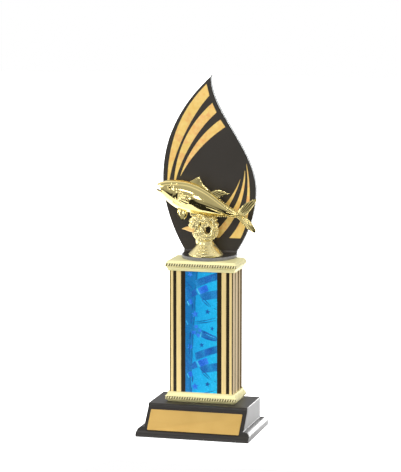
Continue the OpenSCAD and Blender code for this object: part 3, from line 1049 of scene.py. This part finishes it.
# One edge's end and its two pulls, the same for the other edge, then the tip that they share
LEFT_STREAKS = [
    ((-4.2, 329.3), (-24, 309), (-45, 280), (-1.3, 318.2), (-16, 303), (-40, 262), (-42.8, 222)),
    ((1.5, 311.3), (-18, 294), (-36, 268), (5.7, 302.3), (-9, 290), (-31, 260), (-36.9, 226)),
    ((9.4, 295.6), (-7, 284), (-23, 265), (14.3, 288.7), (-0.5, 279), (-19, 262), (-30.5, 239)),
]
RIGHT_STREAKS = [
    ((29.3, 182.4), (40.5, 203), (40, 235), (18.3, 182.4), (38.5, 206), (37.5, 232), (34.7, 255.5)),
    ((8.5, 182.4), (28.5, 203), (35, 226), (-1.5, 182.4), (23, 204), (31.5, 225), (33.6, 249.4)),
    ((14, 207), (21.5, 217.5), (27.5, 232), (6.5, 207), (17, 216), (25, 229), (29.3, 240)),
]


def streak_piece(name, node, streaks, material):
    """Leaf streaks that sweep from a cut end to a fine tip."""
    form = Form()
    for end_a, pull_a, pull_b, end_b, pull_c, pull_d, tip in streaks:
        edge_a = curve(end_a, pull_a, pull_b, tip, 40)
        edge_b = curve(end_b, pull_c, pull_d, tip, 40)
        form.band(edge_a[:-1], edge_b[:-1], FLAME_Y - 2 * FILM_T, FLAME_Y - FILM_T)
    fit(form.make(name, material, CRISP), "streak_foil", node)


# ---- Fish ----

FISH_PLACE = Matrix.Translation((-48.5, AXIS_Y, 232.3)) @ Matrix.Rotation(math.radians(15.5), 4, "Y")
TIP_HALF = 0.14
EYE_U = 14.4
EYE_V = 4.3
GROOVE_DEPTH = 0.65
GILL_HEIGHT = 0.55
GILL_DIP = 0.25
CHEEK_DIP = 0.45
RIDGE_HEIGHT = 0.35
RIDGE_U = 48
GILL_RUN = 9
EDGE_FREE = 3.5

# Along the body from nose to tail: distance, top edge, bottom edge, half width
STATIONS = [
    (0, 2.6, -2.6, 1.3), (1.2, 3.9, -3.9, 2.4), (3, 5.3, -5.0, 3.6), (8, 8.3, -7.2, 5.8),
    (14, 10.6, -10.4, 7.8), (22, 12.8, -13.6, 9.3), (30, 14.0, -14.8, 9.9), (40, 13.4, -14.6, 9.7),
    (50, 11.0, -13.2, 8.4), (60, 7.2, -10.8, 6.2), (70, 2.9, -7.6, 3.8), (80, 0.2, -5.2, 2.1),
    (88, -0.9, -4.0, 1.3)]


def station(u):
    """Top edge, bottom edge and half width of the body at a distance from the nose."""
    last = len(STATIONS) - 1
    k = 0
    while k < last - 1 and STATIONS[k + 1][0] < u:
        k += 1
    a = Vector(STATIONS[max(k - 1, 0)])
    b = Vector(STATIONS[k])
    c = Vector(STATIONS[k + 1])
    d = Vector(STATIONS[min(k + 2, last)])
    span = c[0] - b[0]
    t = (u - b[0]) / span
    slope_b = (c - a) / max(c[0] - a[0], 1e-6) * span
    slope_c = (d - b) / max(d[0] - b[0], 1e-6) * span
    value = ((2 * t ** 3 - 3 * t * t + 1) * b + (t ** 3 - 2 * t * t + t) * slope_b
             + (3 * t * t - 2 * t ** 3) * c + (t ** 3 - t * t) * slope_c)
    return value[1], value[2], value[3]


def flank(u, v):
    """How far the body's side stands out at a point of its profile."""
    top, bottom, half = station(u)
    share = (v - (top + bottom) / 2) / ((top - bottom) / 2)
    return half * math.sqrt(max(1 - share * share, 0.0))


def gill_line(v):
    """Where the gill cover ends, at a height."""
    return 23.4 - 0.035 * (v - 0.5) ** 2 + 0.25 * math.sin(v * 1.9)


def cheek_line(v):
    """Where the cheek plate ends, at a height."""
    return 18.8 - 0.05 * (v + 1.0) ** 2


def body_relief(u, v, top, bottom):
    """How far the skin stands out from the plain section."""
    under = top - v
    fade = smooth_step((u - 3) / 5) * smooth_step((86 - u) / 8)
    out = -GROOVE_DEPTH * hump(under - (3.3 - 0.018 * u), 0.6) * fade
    if bottom + EDGE_FREE < v < top - 2.5:
        inside = smooth_step((v - bottom - EDGE_FREE) / 2.5) * smooth_step((top - 2.5 - v) / 2.5)
        step = u - gill_line(v)
        if step < 0:
            out += GILL_HEIGHT * smooth_step((step + GILL_RUN) / GILL_RUN) * inside
        else:
            out -= GILL_DIP * hump(step, 1.4) * inside
        out -= CHEEK_DIP * hump(u - cheek_line(v) - 0.4, 0.6) * inside
    past = u - RIDGE_U
    ridge = v + 1.9 + 0.06 * past + 0.0022 * past ** 2 * (1 if past > 0 else -1)
    along = smooth_step((u - 38) / 10) * smooth_step((84 - u) / 8)
    out += RIDGE_HEIGHT * hump(ridge, 0.8) * along
    out -= RIDGE_HEIGHT * hump(ridge + 1.6, 0.9) * along
    return out


def body_ring(u, sides=72):
    """One section of the body, from its top edge round."""
    top, bottom, half = station(u)
    middle = (top + bottom) / 2
    high = (top - bottom) / 2
    ring = []
    for i in range(sides):
        angle = 2 * math.pi * i / sides
        y = half * math.sin(angle)
        v = middle + high * math.cos(angle)
        normal = Vector((0, math.sin(angle) / half, math.cos(angle) / high)).normalized()
        ring.append(Vector((u, y, v)) + normal * body_relief(u, v, top, bottom))
    return ring


def fish_part(form, name, material):
    """One of the fish's smaller pieces."""
    fit(form.make(name, material, SOFT, FISH_PLACE), "figure_gold")


def fish_body_piece():
    """The body, with its gill cover, back groove and side ridge, and the mouth cut open."""
    form = Form()
    stops = [0.0, 0.3, 0.7] + [1.2 + 0.5 * i for i in range(174)]
    form.loft([body_ring(u) for u in stops])
    body = form.make("fish_body", figure_finish, 50, FISH_PLACE)
    wedge = Form()
    mouth = [(-2, 1.9), (1.4, 1.7), (4.0, 0.9), (7.6, -2.6), (4.4, -3.0), (1.4, -2.6), (-2, -2.5)]
    wedge.loft([[Vector((u, y, v)) for u, v in mouth] for y in (-8, 8)])
    # The cut faces keep the cutter's near-black finish: painted shade inside the mouth.
    cutter = wedge.make("mouth_cutter", dark_eye_and_shade_finish, CRISP, FISH_PLACE)
    cut = body.modifiers.new("mouth", "BOOLEAN")
    cut.object = cutter
    cut.operation = "DIFFERENCE"
    cut.solver = "EXACT"
    cut.material_mode = "TRANSFER"
    settle(body)
    body.data.set_sharp_from_angle(angle=math.radians(50))
    bpy.data.objects.remove(cutter)
    fit(body, "figure_gold", "fish_front_half", "fish_back_half")


def blade(form, root, tip, ribs, thick=0.7, rib=0.16, hatch=0.0, rows=10, count=56, middle=None):
    """A closed ribbed fin between its root line and its outer edge, both drawn as (u, v)."""
    roots = through([(u, v, 0) for u, v in root], count)
    tips = through([(u, v, 0) for u, v in tip], count)
    middle = middle or (lambda u, v, t: 0.0)
    points = []
    for side in (1, -1):
        for i in range(count):
            s = i / (count - 1)
            rim = min(1.0, 6 * min(s, 1 - s) + 0.15)
            for k in range(rows + 1):
                t = k / rows
                at = roots[i].lerp(tips[i], t)
                half = (thick * (1 - 0.62 * t) + rib * rib_wave(s, t, ribs, hatch) * (1 - 0.3 * t)) * rim
                if k == rows:
                    half = TIP_HALF
                points.append((at.x, middle(at.x, at.y, t) + side * half, at.y))
    form.add(points, blade_faces(rows, count))


def rib_wave(s, t, ribs, hatch):
    """Ribs from 0 to 1 along a fin, or crossed ribs where it is hatched."""
    if not hatch:
        return 0.5 + 0.5 * math.cos(2 * math.pi * ribs * s)
    return (0.5 + 0.5 * math.cos(2 * math.pi * (ribs * s + hatch * t))
            * math.cos(2 * math.pi * (ribs * s - hatch * t)))


def blade_faces(rows, count):
    """Faces of a fin's two skins, and of the strip that joins them round its border."""
    stride = rows + 1
    other = count * stride
    faces = []
    for i in range(count - 1):
        for k in range(rows):
            a = i * stride + k
            quad = [a, a + stride, a + stride + 1, a + 1]
            faces.append(quad)
            faces.append([other + j for j in reversed(quad)])
    border = list(range(rows)) + [i * stride + rows for i in range(count - 1)]
    border += [(count - 1) * stride + k for k in range(rows, 0, -1)]
    border += [i * stride for i in range(count - 1, 0, -1)]
    for a, b in zip(border, border[1:] + border[:1]):
        faces.append([a, b, other + b, other + a])
    return faces


# Each fin's root line, outer edge, ribs and other measures: two on the back, one below, the tail
FINS = [
    ([(29, 12.4), (36, 12.6), (44, 11.4), (51, 9.4)],
     [(29.6, 14.0), (32.4, 16.2), (35.2, 19.2), (37.8, 20.9), (39.4, 19.2), (43.5, 15.2), (48.3, 13),
      (53.3, 10.2)],
     16, {"hatch": 5, "rib": 0.3}),
    ([(51.5, 9.4), (56, 7.4), (61, 5)],
     [(52.5, 10.8), (57.3, 14), (62.8, 14.9), (70.1, 13.9), (65.9, 12.6), (63.4, 10.4), (62.2, 8.4),
      (61.8, 5.6)],
     9, {"rib": 0.14}),
    ([(53, -10.6), (57, -10.2), (61.5, -9)],
     [(53, -12), (58, -14.5), (64.5, -17), (62.8, -13.6), (62, -9.8)], 7, {}),
    ([(82, -1.6), (86, -1.9), (90, -2.3)],
     [(82.2, 0.8), (84.0, 4.2), (88.2, 11.0), (96.4, 17.3), (96.4, 13.3), (94.2, 6.8), (92.0, 1.6),
      (90.8, -1.8)],
     9, {"rib": 0.26}),
    ([(90, -2.4), (86, -2.9), (82, -3.4)],
     [(91.2, -2.4), (95.4, -4.2), (100.2, -7.8), (104.1, -11.8), (102.8, -14.3), (94.4, -11.8),
      (86.0, -6.8), (82, -4.8)],
     9, {"rib": 0.26}),
]


def fin_piece():
    """Fins of the back, belly and tail, on the fish's middle plane, and the pelvic pair."""
    form = Form()
    for root, tip, ribs, measures in FINS:
        blade(form, root, tip, ribs, **measures)
    for side in (-1, 1):
        blade(form, [(26.4, -13.6), (30, -13.8), (34.6, -13.8)],
              [(26.2, -15.2), (28.6, -19.2), (33.6, -23.3), (35.2, -19), (34.9, -15.2)], 5,
              middle=lambda u, v, t, way=side: way * (2.6 + 1.6 * t))
    fish_part(form, "fish_fins", figure_finish)


def on_flank(points, side, lift):
    """Points of the profile set on one flank, this far out from its skin."""
    return [(u, side * (flank(u, v) + lift), v) for u, v in points]


def pectoral_piece():
    """The leaf-like side fins, with a bright bar along the upper edge and a curl in each."""
    form = Form()
    curl = []
    for i in range(40):
        turn = 2 * math.pi * 1.35 * i / 39
        reach = 2.3 * (1 - 0.62 * i / 39)
        curl.append((34.6 + reach * math.cos(turn), -1.6 + reach * math.sin(turn)))
    bar = flat_line([(24.2, 5.0), (27.2, 3.6), (30.2, 2.1), (33.4, 0.9)], 24)
    for side in (-1, 1):

        def lie(u, v, t, way=side):
            return way * (flank(u, v) + 0.15 + 0.75 * math.sin(math.pi * min(t, 0.9)))

        blade(form, [(25.2, 3.6), (24.6, 0.6), (24.9, -2.8), (26.2, -5.9)],
              [(27.9, 3.0), (33.0, 1.6), (35.4, 2.7), (38.5, 3.1), (42.4, 1.6), (39.6, -1.2), (37.6, -3.6),
               (33.8, -6.8), (30, -8), (26.8, -6.9)], 8, thick=0.55, rib=0.28, rows=12, middle=lie)
        form.tube(on_flank(bar, side, 0.75), tapered(24, 0.75, 0.3))
        form.tube(on_flank(curl, side, 0.95), tapered(40, 0.5, 0.4))
    fish_part(form, "pectoral_fins", figure_finish)


def fish_trim_piece():
    """Eyes' rims, tail keels, jaw lips and the small marks below the gills."""
    form = Form()
    keel = flat_line([(72, -2.8), (80, -2.3), (89, -2.4)], 20)
    upper = flat_line([(0.2, 2.2), (1.6, 2.0), (4.2, 1.1), (7.8, -2.6)], 18)
    lower = flat_line([(0.2, -2.6), (1.6, -2.9), (4.6, -3.3), (7.8, -2.9)], 18)
    for side in (-1, 1):
        form.turn((EYE_U, side * (flank(EYE_U, EYE_V) + 0.1), EYE_V), (0.12, side, 0.35),
                  [(2.3, -0.8), (2.3, 0.1), (2.0, 0.42), (1.7, 0.42), (1.45, 0.15), (1.2, 0.1), (0.3, 0.4),
                   (0.05, 0.42)], 32)
        form.tube([(u, side * flank(min(u, 87), -2.5) * 0.92, v) for u, v in keel], tapered(20, 1.0), 10)
        for lip in (upper, lower):
            form.tube(on_flank(lip, side, 0.02), tapered(18, 0.42, 0.4), 8)
        for k in range(8):
            u = 20.2 + 1.15 * k
            v = -7.4 - 0.22 * k
            mark = [(u + 0.12 * j, side * (flank(u, v - 0.35 * j) + 0.05), v - 0.35 * j) for j in range(8)]
            form.tube(mark, tapered(8, 0.3, 0.3), 8)
    fish_part(form, "fish_trim", figure_finish)


def eye_piece():
    """Dark pupils set in the eyes' rims, and the nostrils as dark domes: painted shade where their pits
    would be.
    """
    form = Form()
    for side in (-1, 1):
        form.turn((EYE_U, side * (flank(EYE_U, EYE_V) + 0.3), EYE_V), (0.12, side, 0.35),
                  [(0.95, -0.2), (0.95, 0.1), (0.75, 0.32), (0.4, 0.42), (0.05, 0.45)], 24)
        # Painted shade: a dark dome for each nostril's pit.
        form.turn((9.4, side * (flank(9.4, 3.6) - 0.05), 3.6), (0, side, 0.3),
                  [(0.35, -0.2), (0.35, 0.05), (0.05, 0.1)], 12)
    fish_part(form, "fish_eyes", dark_eye_and_shade_finish)


# Rows of beads along the fish: piece, lines, spacing, bead size and slant
BEAD_ROWS = [
    ("fish_finlets", [[(63.2, 5.9), (68.5, 3.9), (74, 1.9), (79, 0.7), (83, 0.3)],
                      [(57, -12.2), (62.5, -10.6), (69, -8.4), (76, -6.6), (82, -5.2)]],
     1.9, (1.5, 1.3, 1.9), 0.5),
    ("tail_beads", [[(91.4, 0.4), (93.8, 6.6), (96.2, 13.6)],
                    [(92.8, -3.2), (98.2, -6.4), (103.6, -11.4)]],
     1.35, (1.1, 1.1, 1.1), 0.0),
]


def finlet_pieces():
    """Rows of finlets above and below the tail end, and beads along the tail's rear edges."""
    for name, lines, spacing, size, slant in BEAD_ROWS:
        paths = [[(u, 0, v) for u, v in flat_line(line, 40)] for line in lines]
        piece = bead_piece(name, paths, False, spacing, size, slant, figure_finish, FISH_PLACE)
        fit(piece, "figure_gold")


# ---- Riser ----

SEAT_Z = CAP_TOP + SHEET_T + FILM_T
FOOT_R = 16.4
RING_X = 2.0
RING_Z = 191.4
FOOT_ARC = 24
# The foot's ledges: radius, height, thickness and half of the angle that each spans
LEDGES = [(9.6, 8.8, 1.3, 36), (11.5, 6.0, 1.6, 40), (14.0, 3.2, 1.7, 40)]
BEAD_RING_R = 8.9
SKIN_VOXEL = 0.32


def riser_foot_piece():
    """The turned foot, with three stepped ledges down its front and back."""
    flare = curve((FOOT_R, 1.7), (FOOT_R - 1.7, 3.9), (11.6, 7.4), (8.8, 10.6), 14)
    profile = [(5.0, 0.0), (FOOT_R - 0.5, 0.0), (FOOT_R - 0.12, 0.15), (FOOT_R, 0.5), (FOOT_R, 1.4)]
    profile += flare + [(8.5, 11.0), (8.1, 11.6), (7.9, 12.6), (7.0, 14.0), (4.0, 14.5)]
    form = Form()
    form.turn((0, AXIS_Y, SEAT_Z), (0, 0, 1), profile, 72)
    for radius, z, thick, half_angle in LEDGES:
        for facing in (-90, 90):
            path = []
            for i in range(FOOT_ARC + 1):
                t = 2 * i / FOOT_ARC - 1
                angle = math.radians(facing + half_angle * t)
                reach = radius - 0.9 * t * t
                path.append((reach * math.cos(angle), AXIS_Y + reach * math.sin(angle),
                             SEAT_Z + z + 0.5 - 1.1 * t * t))
            form.tube(path, tapered(FOOT_ARC + 1, thick, 0.2), 12)
    fit(form.make("riser_foot", weed_finish, 40), "figure_gold", "riser_front_half", "riser_back_half")


# Lumps of the seaweed body: centre across and up, then the half sizes across, deep and up
LUMPS = [((-1.6, 181.5), (8.4, 5.8, 7.5)), ((-6.8, 189.0), (6.4, 4.4, 7.0)),
         ((-10.8, 197.0), (5.8, 5.2, 7.6)), ((-8.0, 203.0), (6.2, 4.6, 4.0)),
         ((-1.0, 201.8), (7.0, 4.4, 4.4)), ((8.6, 196.8), (3.2, 3.8, 4.4))]
RING_R = 5.6
RING_CORE_R = 2.2
RING_DEEP = 3.0
RING_CENTRE_Z = RING_Z + 0.6
LEAST_DEPTH = 1.8
STRAND_R = 1.15
SKIN_STEP = 0.8


def weed_depth(x, z):
    """How far the merged lumps stand out from the middle plane, evened out a little."""
    total = 0.0
    for dx, dz in ((0, 0), (SKIN_STEP, 0), (-SKIN_STEP, 0), (0, SKIN_STEP), (0, -SKIN_STEP)):
        deep = LEAST_DEPTH
        for (cx, cz), (rx, ry, rz) in LUMPS:
            share = 1 - ((x + dx - cx) / rx) ** 2 - ((z + dz - cz) / rz) ** 2
            deep = max(deep, ry * math.sqrt(max(share, 0)))
        away = math.hypot(x + dx - RING_X, z + dz - RING_Z - 0.6) - RING_R
        core = max(1 - (away / RING_CORE_R) ** 2, 0)
        total += max(deep, RING_DEEP * math.sqrt(core))
    return total / 5


def ridge(form, side, points, radius):
    """A rounded strand that hugs the body's front or back along these points."""
    path = [(x, AXIS_Y + side * (weed_depth(x, z) + 0.1), z) for x, z in flat_line(points, 48)]
    form.tube(path, tapered(48, radius, 0.5), 12)


def weed_form():
    """Lumps and strands that merge into the seaweed body above the foot."""
    form = Form()
    for (x, z), radii in LUMPS:
        form.blob((x, AXIS_Y, z), radii)
    ring = []
    for i in range(49):
        angle = 2 * math.pi * i / 48
        ring.append((RING_X + RING_R * math.cos(angle), AXIS_Y, RING_CENTRE_Z + RING_R * math.sin(angle)))
    form.loft(tube_rings(ring, RING_CORE_R, 16, RING_DEEP / RING_CORE_R)[:-1], closed=True)
    for side in (-1, 1):
        weave_rings(form, side)
        weave_strands(form, side)
        weave_lumps(form, side)
    return form


def weave_rings(form, side):
    """Ridges that sweep down the left of the drop-shaped hole and round to its right."""
    starts = [(2.4, 5.6), (-3.0, 10.4), (-4.4, 11.6)]
    for k, (start_x, start_z) in enumerate(starts):
        reach = 3.9 + 2.0 * k
        path = [(RING_X + start_x, RING_Z + start_z), (RING_X - reach * 0.72, RING_Z + 3.2 + 0.9 * k)]
        for i in range(9):
            angle = math.radians(180 + 26 * i)
            path.append((RING_X + reach * math.cos(angle), RING_Z + reach * math.sin(angle)))
        ridge(form, side, path, STRAND_R)


def weave_strands(form, side):
    """Strands that start under the fish, run down the left of the ridges and into the neck."""
    for k in range(3):
        reach = 9.9 + 2.0 * k
        steps = [(-5.4 - 1.8 * k, 11.4 - 0.4 * k), (0.8 - reach, 5.0), (-reach, -0.5),
                 (-reach * 0.84, -6.0), (-3.2 - 1.5 * k, -10.8)]
        ridge(form, side, [(RING_X + dx, RING_Z + dz) for dx, dz in steps], STRAND_R)


def weave_lumps(form, side):
    """Curled fronds that mottle the left lobe and the top."""
    places = [(-13.6, 200.8), (-10.8, 203.4), (-7.0, 205.0), (-13.8, 196.4), (-12.4, 192.2),
              (-3.4, 204.6), (0.6, 203.4), (9.6, 197.6)]
    for k, (x, z) in enumerate(places):
        turn = 2.3 * k
        curl = []
        for i in range(9):
            angle = turn + 3.9 * i / 8
            curl.append((x + 1.5 * math.cos(angle), z + 1.5 * math.sin(angle)))
        ridge(form, side, curl, 0.95)


def riser_weed_piece():
    """The seaweed body: its strands merged into one skin, then eased."""
    piece = weed_form().make("riser_weed", weed_finish, 180)
    merge = piece.modifiers.new("merge", "REMESH")
    merge.mode = "VOXEL"
    merge.voxel_size = SKIN_VOXEL * MM
    merge.use_smooth_shade = True
    ease = piece.modifiers.new("ease", "SMOOTH")
    ease.factor = 0.5
    ease.iterations = 3
    settle(piece)
    piece.data.materials.clear()
    piece.data.materials.append(weed_finish)
    fit(piece, "figure_gold")


def leaf_piece():
    """The copper-tinted leaf at the left."""
    leaf = Form()
    for side in (-1, 1):
        blade(leaf, [(-11.0, 189.8), (-10.4, 192.6), (-11.2, 195.6)],
              [(-15.0, 190.0), (-19.6, 191.7), (-23.0, 192.7), (-19.0, 194.2), (-14.8, 196.2)], 3,
              thick=1.2, rib=0.2, rows=8, count=32,
              middle=lambda u, v, t, way=side: AXIS_Y + way * (4.6 - 2.2 * t))
    fit(leaf.make("riser_leaf", copper_finish, SOFT), "figure_gold")


def frond_piece():
    """The long frond and the leaf cluster at the right, on the front and on the back."""
    bends = [(-6.4, -1.0, 207.2), (-2.6, 0.6, 206.6), (0.8, 0.9, 203.6), (4.4, 0.2, 199.8),
             (6.2, -0.8, 196.6)]
    shares = [i / 8 for i in range(9)]
    widths = [math.sin(math.pi * (0.12 + 0.86 * i / 8)) + 0.08 for i in range(9)]
    frond = Form()
    for side in (-1, 1):
        front = AXIS_Y + side * 5.3
        path = through([(x, front + side * out, z) for x, out, z in bends], 36)
        frond.tube(path, tapered(36, 0.9, 0.35), 12)
        middle = Vector((6.6, front - side * 1.2, 201.0))
        for k in range(7):
            angle = math.radians(-50 + 32 * k)
            reach = 4.3 if k % 2 == 0 else 3.3
            end = middle + Vector((reach * math.cos(angle), side * 0.5, reach * math.sin(angle)))
            frond.tube([middle.lerp(end, t) for t in shares], widths, 8, 0.6)
    fit(frond.make("riser_fronds", weed_finish, SOFT), "figure_gold")


def riser_bead_piece():
    """Three rows of beads round the right of the ring."""
    angles = [math.radians(62 - 130 * i / 30) for i in range(31)]
    rim = [[(RING_X + BEAD_RING_R * math.cos(a), AXIS_Y + y, RING_Z + BEAD_RING_R * math.sin(a))
            for a in angles] for y in (-2.4, 0, 2.4)]
    piece = bead_piece("riser_beads", rim, False, 2.1, (2.2, 2.2, 2.2), 0.0, weed_finish)
    fit(piece, "figure_gold")


def saddle_piece():
    """The seat between the seaweed and the fish's belly."""
    saddle = Form()
    saddle.loft([[Vector((u, y, v)) for u, v in ((37, -12), (54, -11), (53, -16.4), (40, -17))]
                 for y in (-2.8, 2.8)])
    seat = rounded(saddle.make("fish_saddle", weed_finish, 40, FISH_PLACE), 1.0, 4)
    fit(seat, "figure_gold")


# ---- The wrap, the films and the hidden parts keep their CAD shapes ----

def dress(node, material):
    """Gives a CAD node that still shows this finish."""
    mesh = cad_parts[node].data
    mesh.materials.clear()
    mesh.materials.append(material)


def dress_nodes():
    """Gives each CAD node that is kept its finish."""
    dress("column_wrap", wrap_material())
    blue = film_material()
    steel = finish_of("zinc plated steel", (0.6, 0.6, 0.62, 1), 0.35, 1.0, 700, bump=0.02)
    for node, finish in (("front_film", blue), ("back_film", blue), ("tie_rod", steel), ("rod_nut", steel),
                         ("rod_washer", steel)):
        dress(node, finish)
    dress("base_fill", finish_of("cast plaster", (0.6, 0.58, 0.54, 1), 0.85, grain=250, bump=0.12))
    dress("base_cover", finish_of("pressed board", (0.05, 0.05, 0.05, 1), 0.8, grain=500, bump=0.08))
    dress("foot_pads", finish_of("felted rubber", (0.03, 0.03, 0.03, 1), 0.9, grain=900, bump=0.1))
    dress("plaque_tape", finish_of("adhesive tape", (0.8, 0.8, 0.75, 1), 0.6, grain=400, bump=0.03))
    dress("column_core", finish_of("white plastic", (0.75, 0.74, 0.7, 1), 0.45, grain=300))
    brass = finish_of("turned brass", (0.7, 0.5, 0.2, 1), 0.3, 1.0, 700, stretch=(1, 1, 0.1))
    dress("figure_insert", brass)


# ---- Camera, floor and light ----

def turned_to(made, place, aim):
    """Puts a camera or a lamp at a place and points it at another."""
    made.location = place
    made.rotation_euler = (Vector(aim) - Vector(place)).to_track_quat("-Z", "Y").to_euler()
    return made


def make_camera():
    """A long lens from the front, a little to the right and above."""
    data = bpy.data.cameras.new("camera")
    data.lens = 183.05
    data.sensor_width = 36
    bpy.context.scene.camera = turned_to(show("camera", data), (0.5790, -2.1657, 0.5228),
                                         (-0.00186, -0.00050, 0.18796))


def make_floor():
    """A pale sweep that glows more towards the back, and ends in front of the trophy."""
    front, back, half = -0.13, 4.0, 2.5
    mesh = bpy.data.meshes.new("floor")
    corners = [(-half, -1.0, 0), (-0.1, -0.3, 0), (-0.05, front, 0), (half, front, 0), (half, back, 0),
               (-half, back, 0)]
    mesh.from_pydata(corners, [], [range(len(corners))])
    material, tree, shader, place = new_material("pale sweep")
    y = add(tree, "ShaderNodeSeparateXYZ", {0: place})[1]
    feed(tree, shader, {
        "Base Color": (0.8, 0.8, 0.8, 1),
        "Roughness": 0.7,
        "Emission Color": (1, 1, 1, 1),
        "Emission Strength": spread(tree, y, 0.4, 1.6, -0.07, 0.03)})
    mesh.materials.append(material)
    floor = show("floor", mesh)
    floor.visible_diffuse = False


# Brightness of the studio from straight down to straight up, in front and behind
FRONT_GLOW = [(0.0, 0.02), (0.43, 0.02), (0.48, 0.3), (0.54, 0.42), (0.75, 0.45), (0.9, 0.48), (1.0, 0.6)]
BACK_GLOW = [(0.0, 1.0), (0.49, 0.9), (0.51, 0.3), (0.62, 0.4), (0.75, 0.9), (0.85, 1.0)]


def make_world():
    """A studio seen in reflections: bright above, dim near the horizon and dark low in front."""
    world = bpy.data.worlds.new("studio")
    bpy.context.scene.world = world
    world.use_nodes = True
    tree = world.node_tree
    tree.nodes.clear()
    way = add(tree, "ShaderNodeTexCoord")["Generated"]
    parts = add(tree, "ShaderNodeSeparateXYZ", {0: way})
    rise = spread(tree, parts[2], 0, 1, -1, 1)
    front, back = [ramp(tree, rise, [(at, (level, level, level, 1)) for at, level in stops])
                   for stops in (FRONT_GLOW, BACK_GLOW)]
    light = mix_colour(tree, spread(tree, parts[1], 0, 1, -0.15, 0.15), front, back)
    seen = add(tree, "ShaderNodeLightPath")["Is Camera Ray"]
    shown = mix_colour(tree, seen, light, (1, 1, 1, 1))
    glow = add(tree, "ShaderNodeBackground", {"Color": shown, "Strength": 1.0})[0]
    add(tree, "ShaderNodeOutputWorld", {0: glow})


def soft_light(name, place, aim, size, watts, size_y=None, mirrored=True):
    """A soft box aimed at a point. One that isn't mirrored lights, but shows in no reflection."""
    data = bpy.data.lights.new(name, "AREA")
    data.energy = watts
    data.size = size
    if size_y:
        data.shape = "RECTANGLE"
        data.size_y = size_y
    lamp = turned_to(show(name, data), place, aim)
    lamp.visible_glossy = mirrored
    return lamp


def make_lights():
    """Soft boxes above, in front and at the sides."""
    soft_light("top", (0, 0.25, 1.3), (0, 0, 0.2), 1.1, 8, mirrored=False)
    soft_light("front fill", (-0.3, -1.5, 1.1), (0, 0, 0.16), 1.2, 12, mirrored=False)
    soft_light("strip", (-0.36, -1.35, 0.98), (0, 0, 0.22), 0.8, 2.2, 0.12)
    soft_light("round box", (0.1, -1.4, 0.5), (0, 0, 0.22), 0.2, 1.8)
    soft_light("left", (-1.2, -0.4, 0.7), (0, 0, 0.2), 0.5, 3)
    soft_light("right", (1.3, -0.3, 0.5), (0, 0, 0.15), 0.6, 3.5, mirrored=False)
    soft_light("low fill", (-0.1, -1.3, 0.02), (0, 0, 0.12), 0.8, 4, mirrored=False)


def light_base_side(base):
    """A low soft box behind on the right gives the base's right side its sheen, and no other piece."""
    lamp = soft_light("right rear", (0.45, 1.3, 0.24), (0, 0, 0.05), 0.9, 20, 0.5)
    lamp.visible_diffuse = False
    only = bpy.data.collections.new("lit from the right rear")
    only.objects.link(base)
    lamp.light_linking.receiver_collection = only


# ---- The whole trophy ----

bpy.context.scene.view_settings.view_transform = "Standard"
make_camera()
make_floor()
make_world()
make_lights()
dress_nodes()
light_base_side(base_piece())
plaque_piece()
cap_piece("top_cap", "upper_cap", SHOW_Z1, 1)
cap_piece("bottom_cap", "lower_cap", SHOW_Z0, -1)
rope_piece("top_rope", SHOW_Z1 + CHANNEL_Z)
rope_piece("bottom_rope", SHOW_Z0 - CHANNEL_Z)
inlay_pieces()
flame_pieces()
leaf_finish = streak_material()
streak_piece("left_streaks", "gold_streaks_left", LEFT_STREAKS, leaf_finish)
streak_piece("right_streaks", "gold_streaks_right", RIGHT_STREAKS, leaf_finish)
fish_body_piece()
fin_piece()
pectoral_piece()
fish_trim_piece()
eye_piece()
finlet_pieces()
riser_foot_piece()
riser_weed_piece()
leaf_piece()
frond_piece()
riser_bead_piece()
saddle_piece()
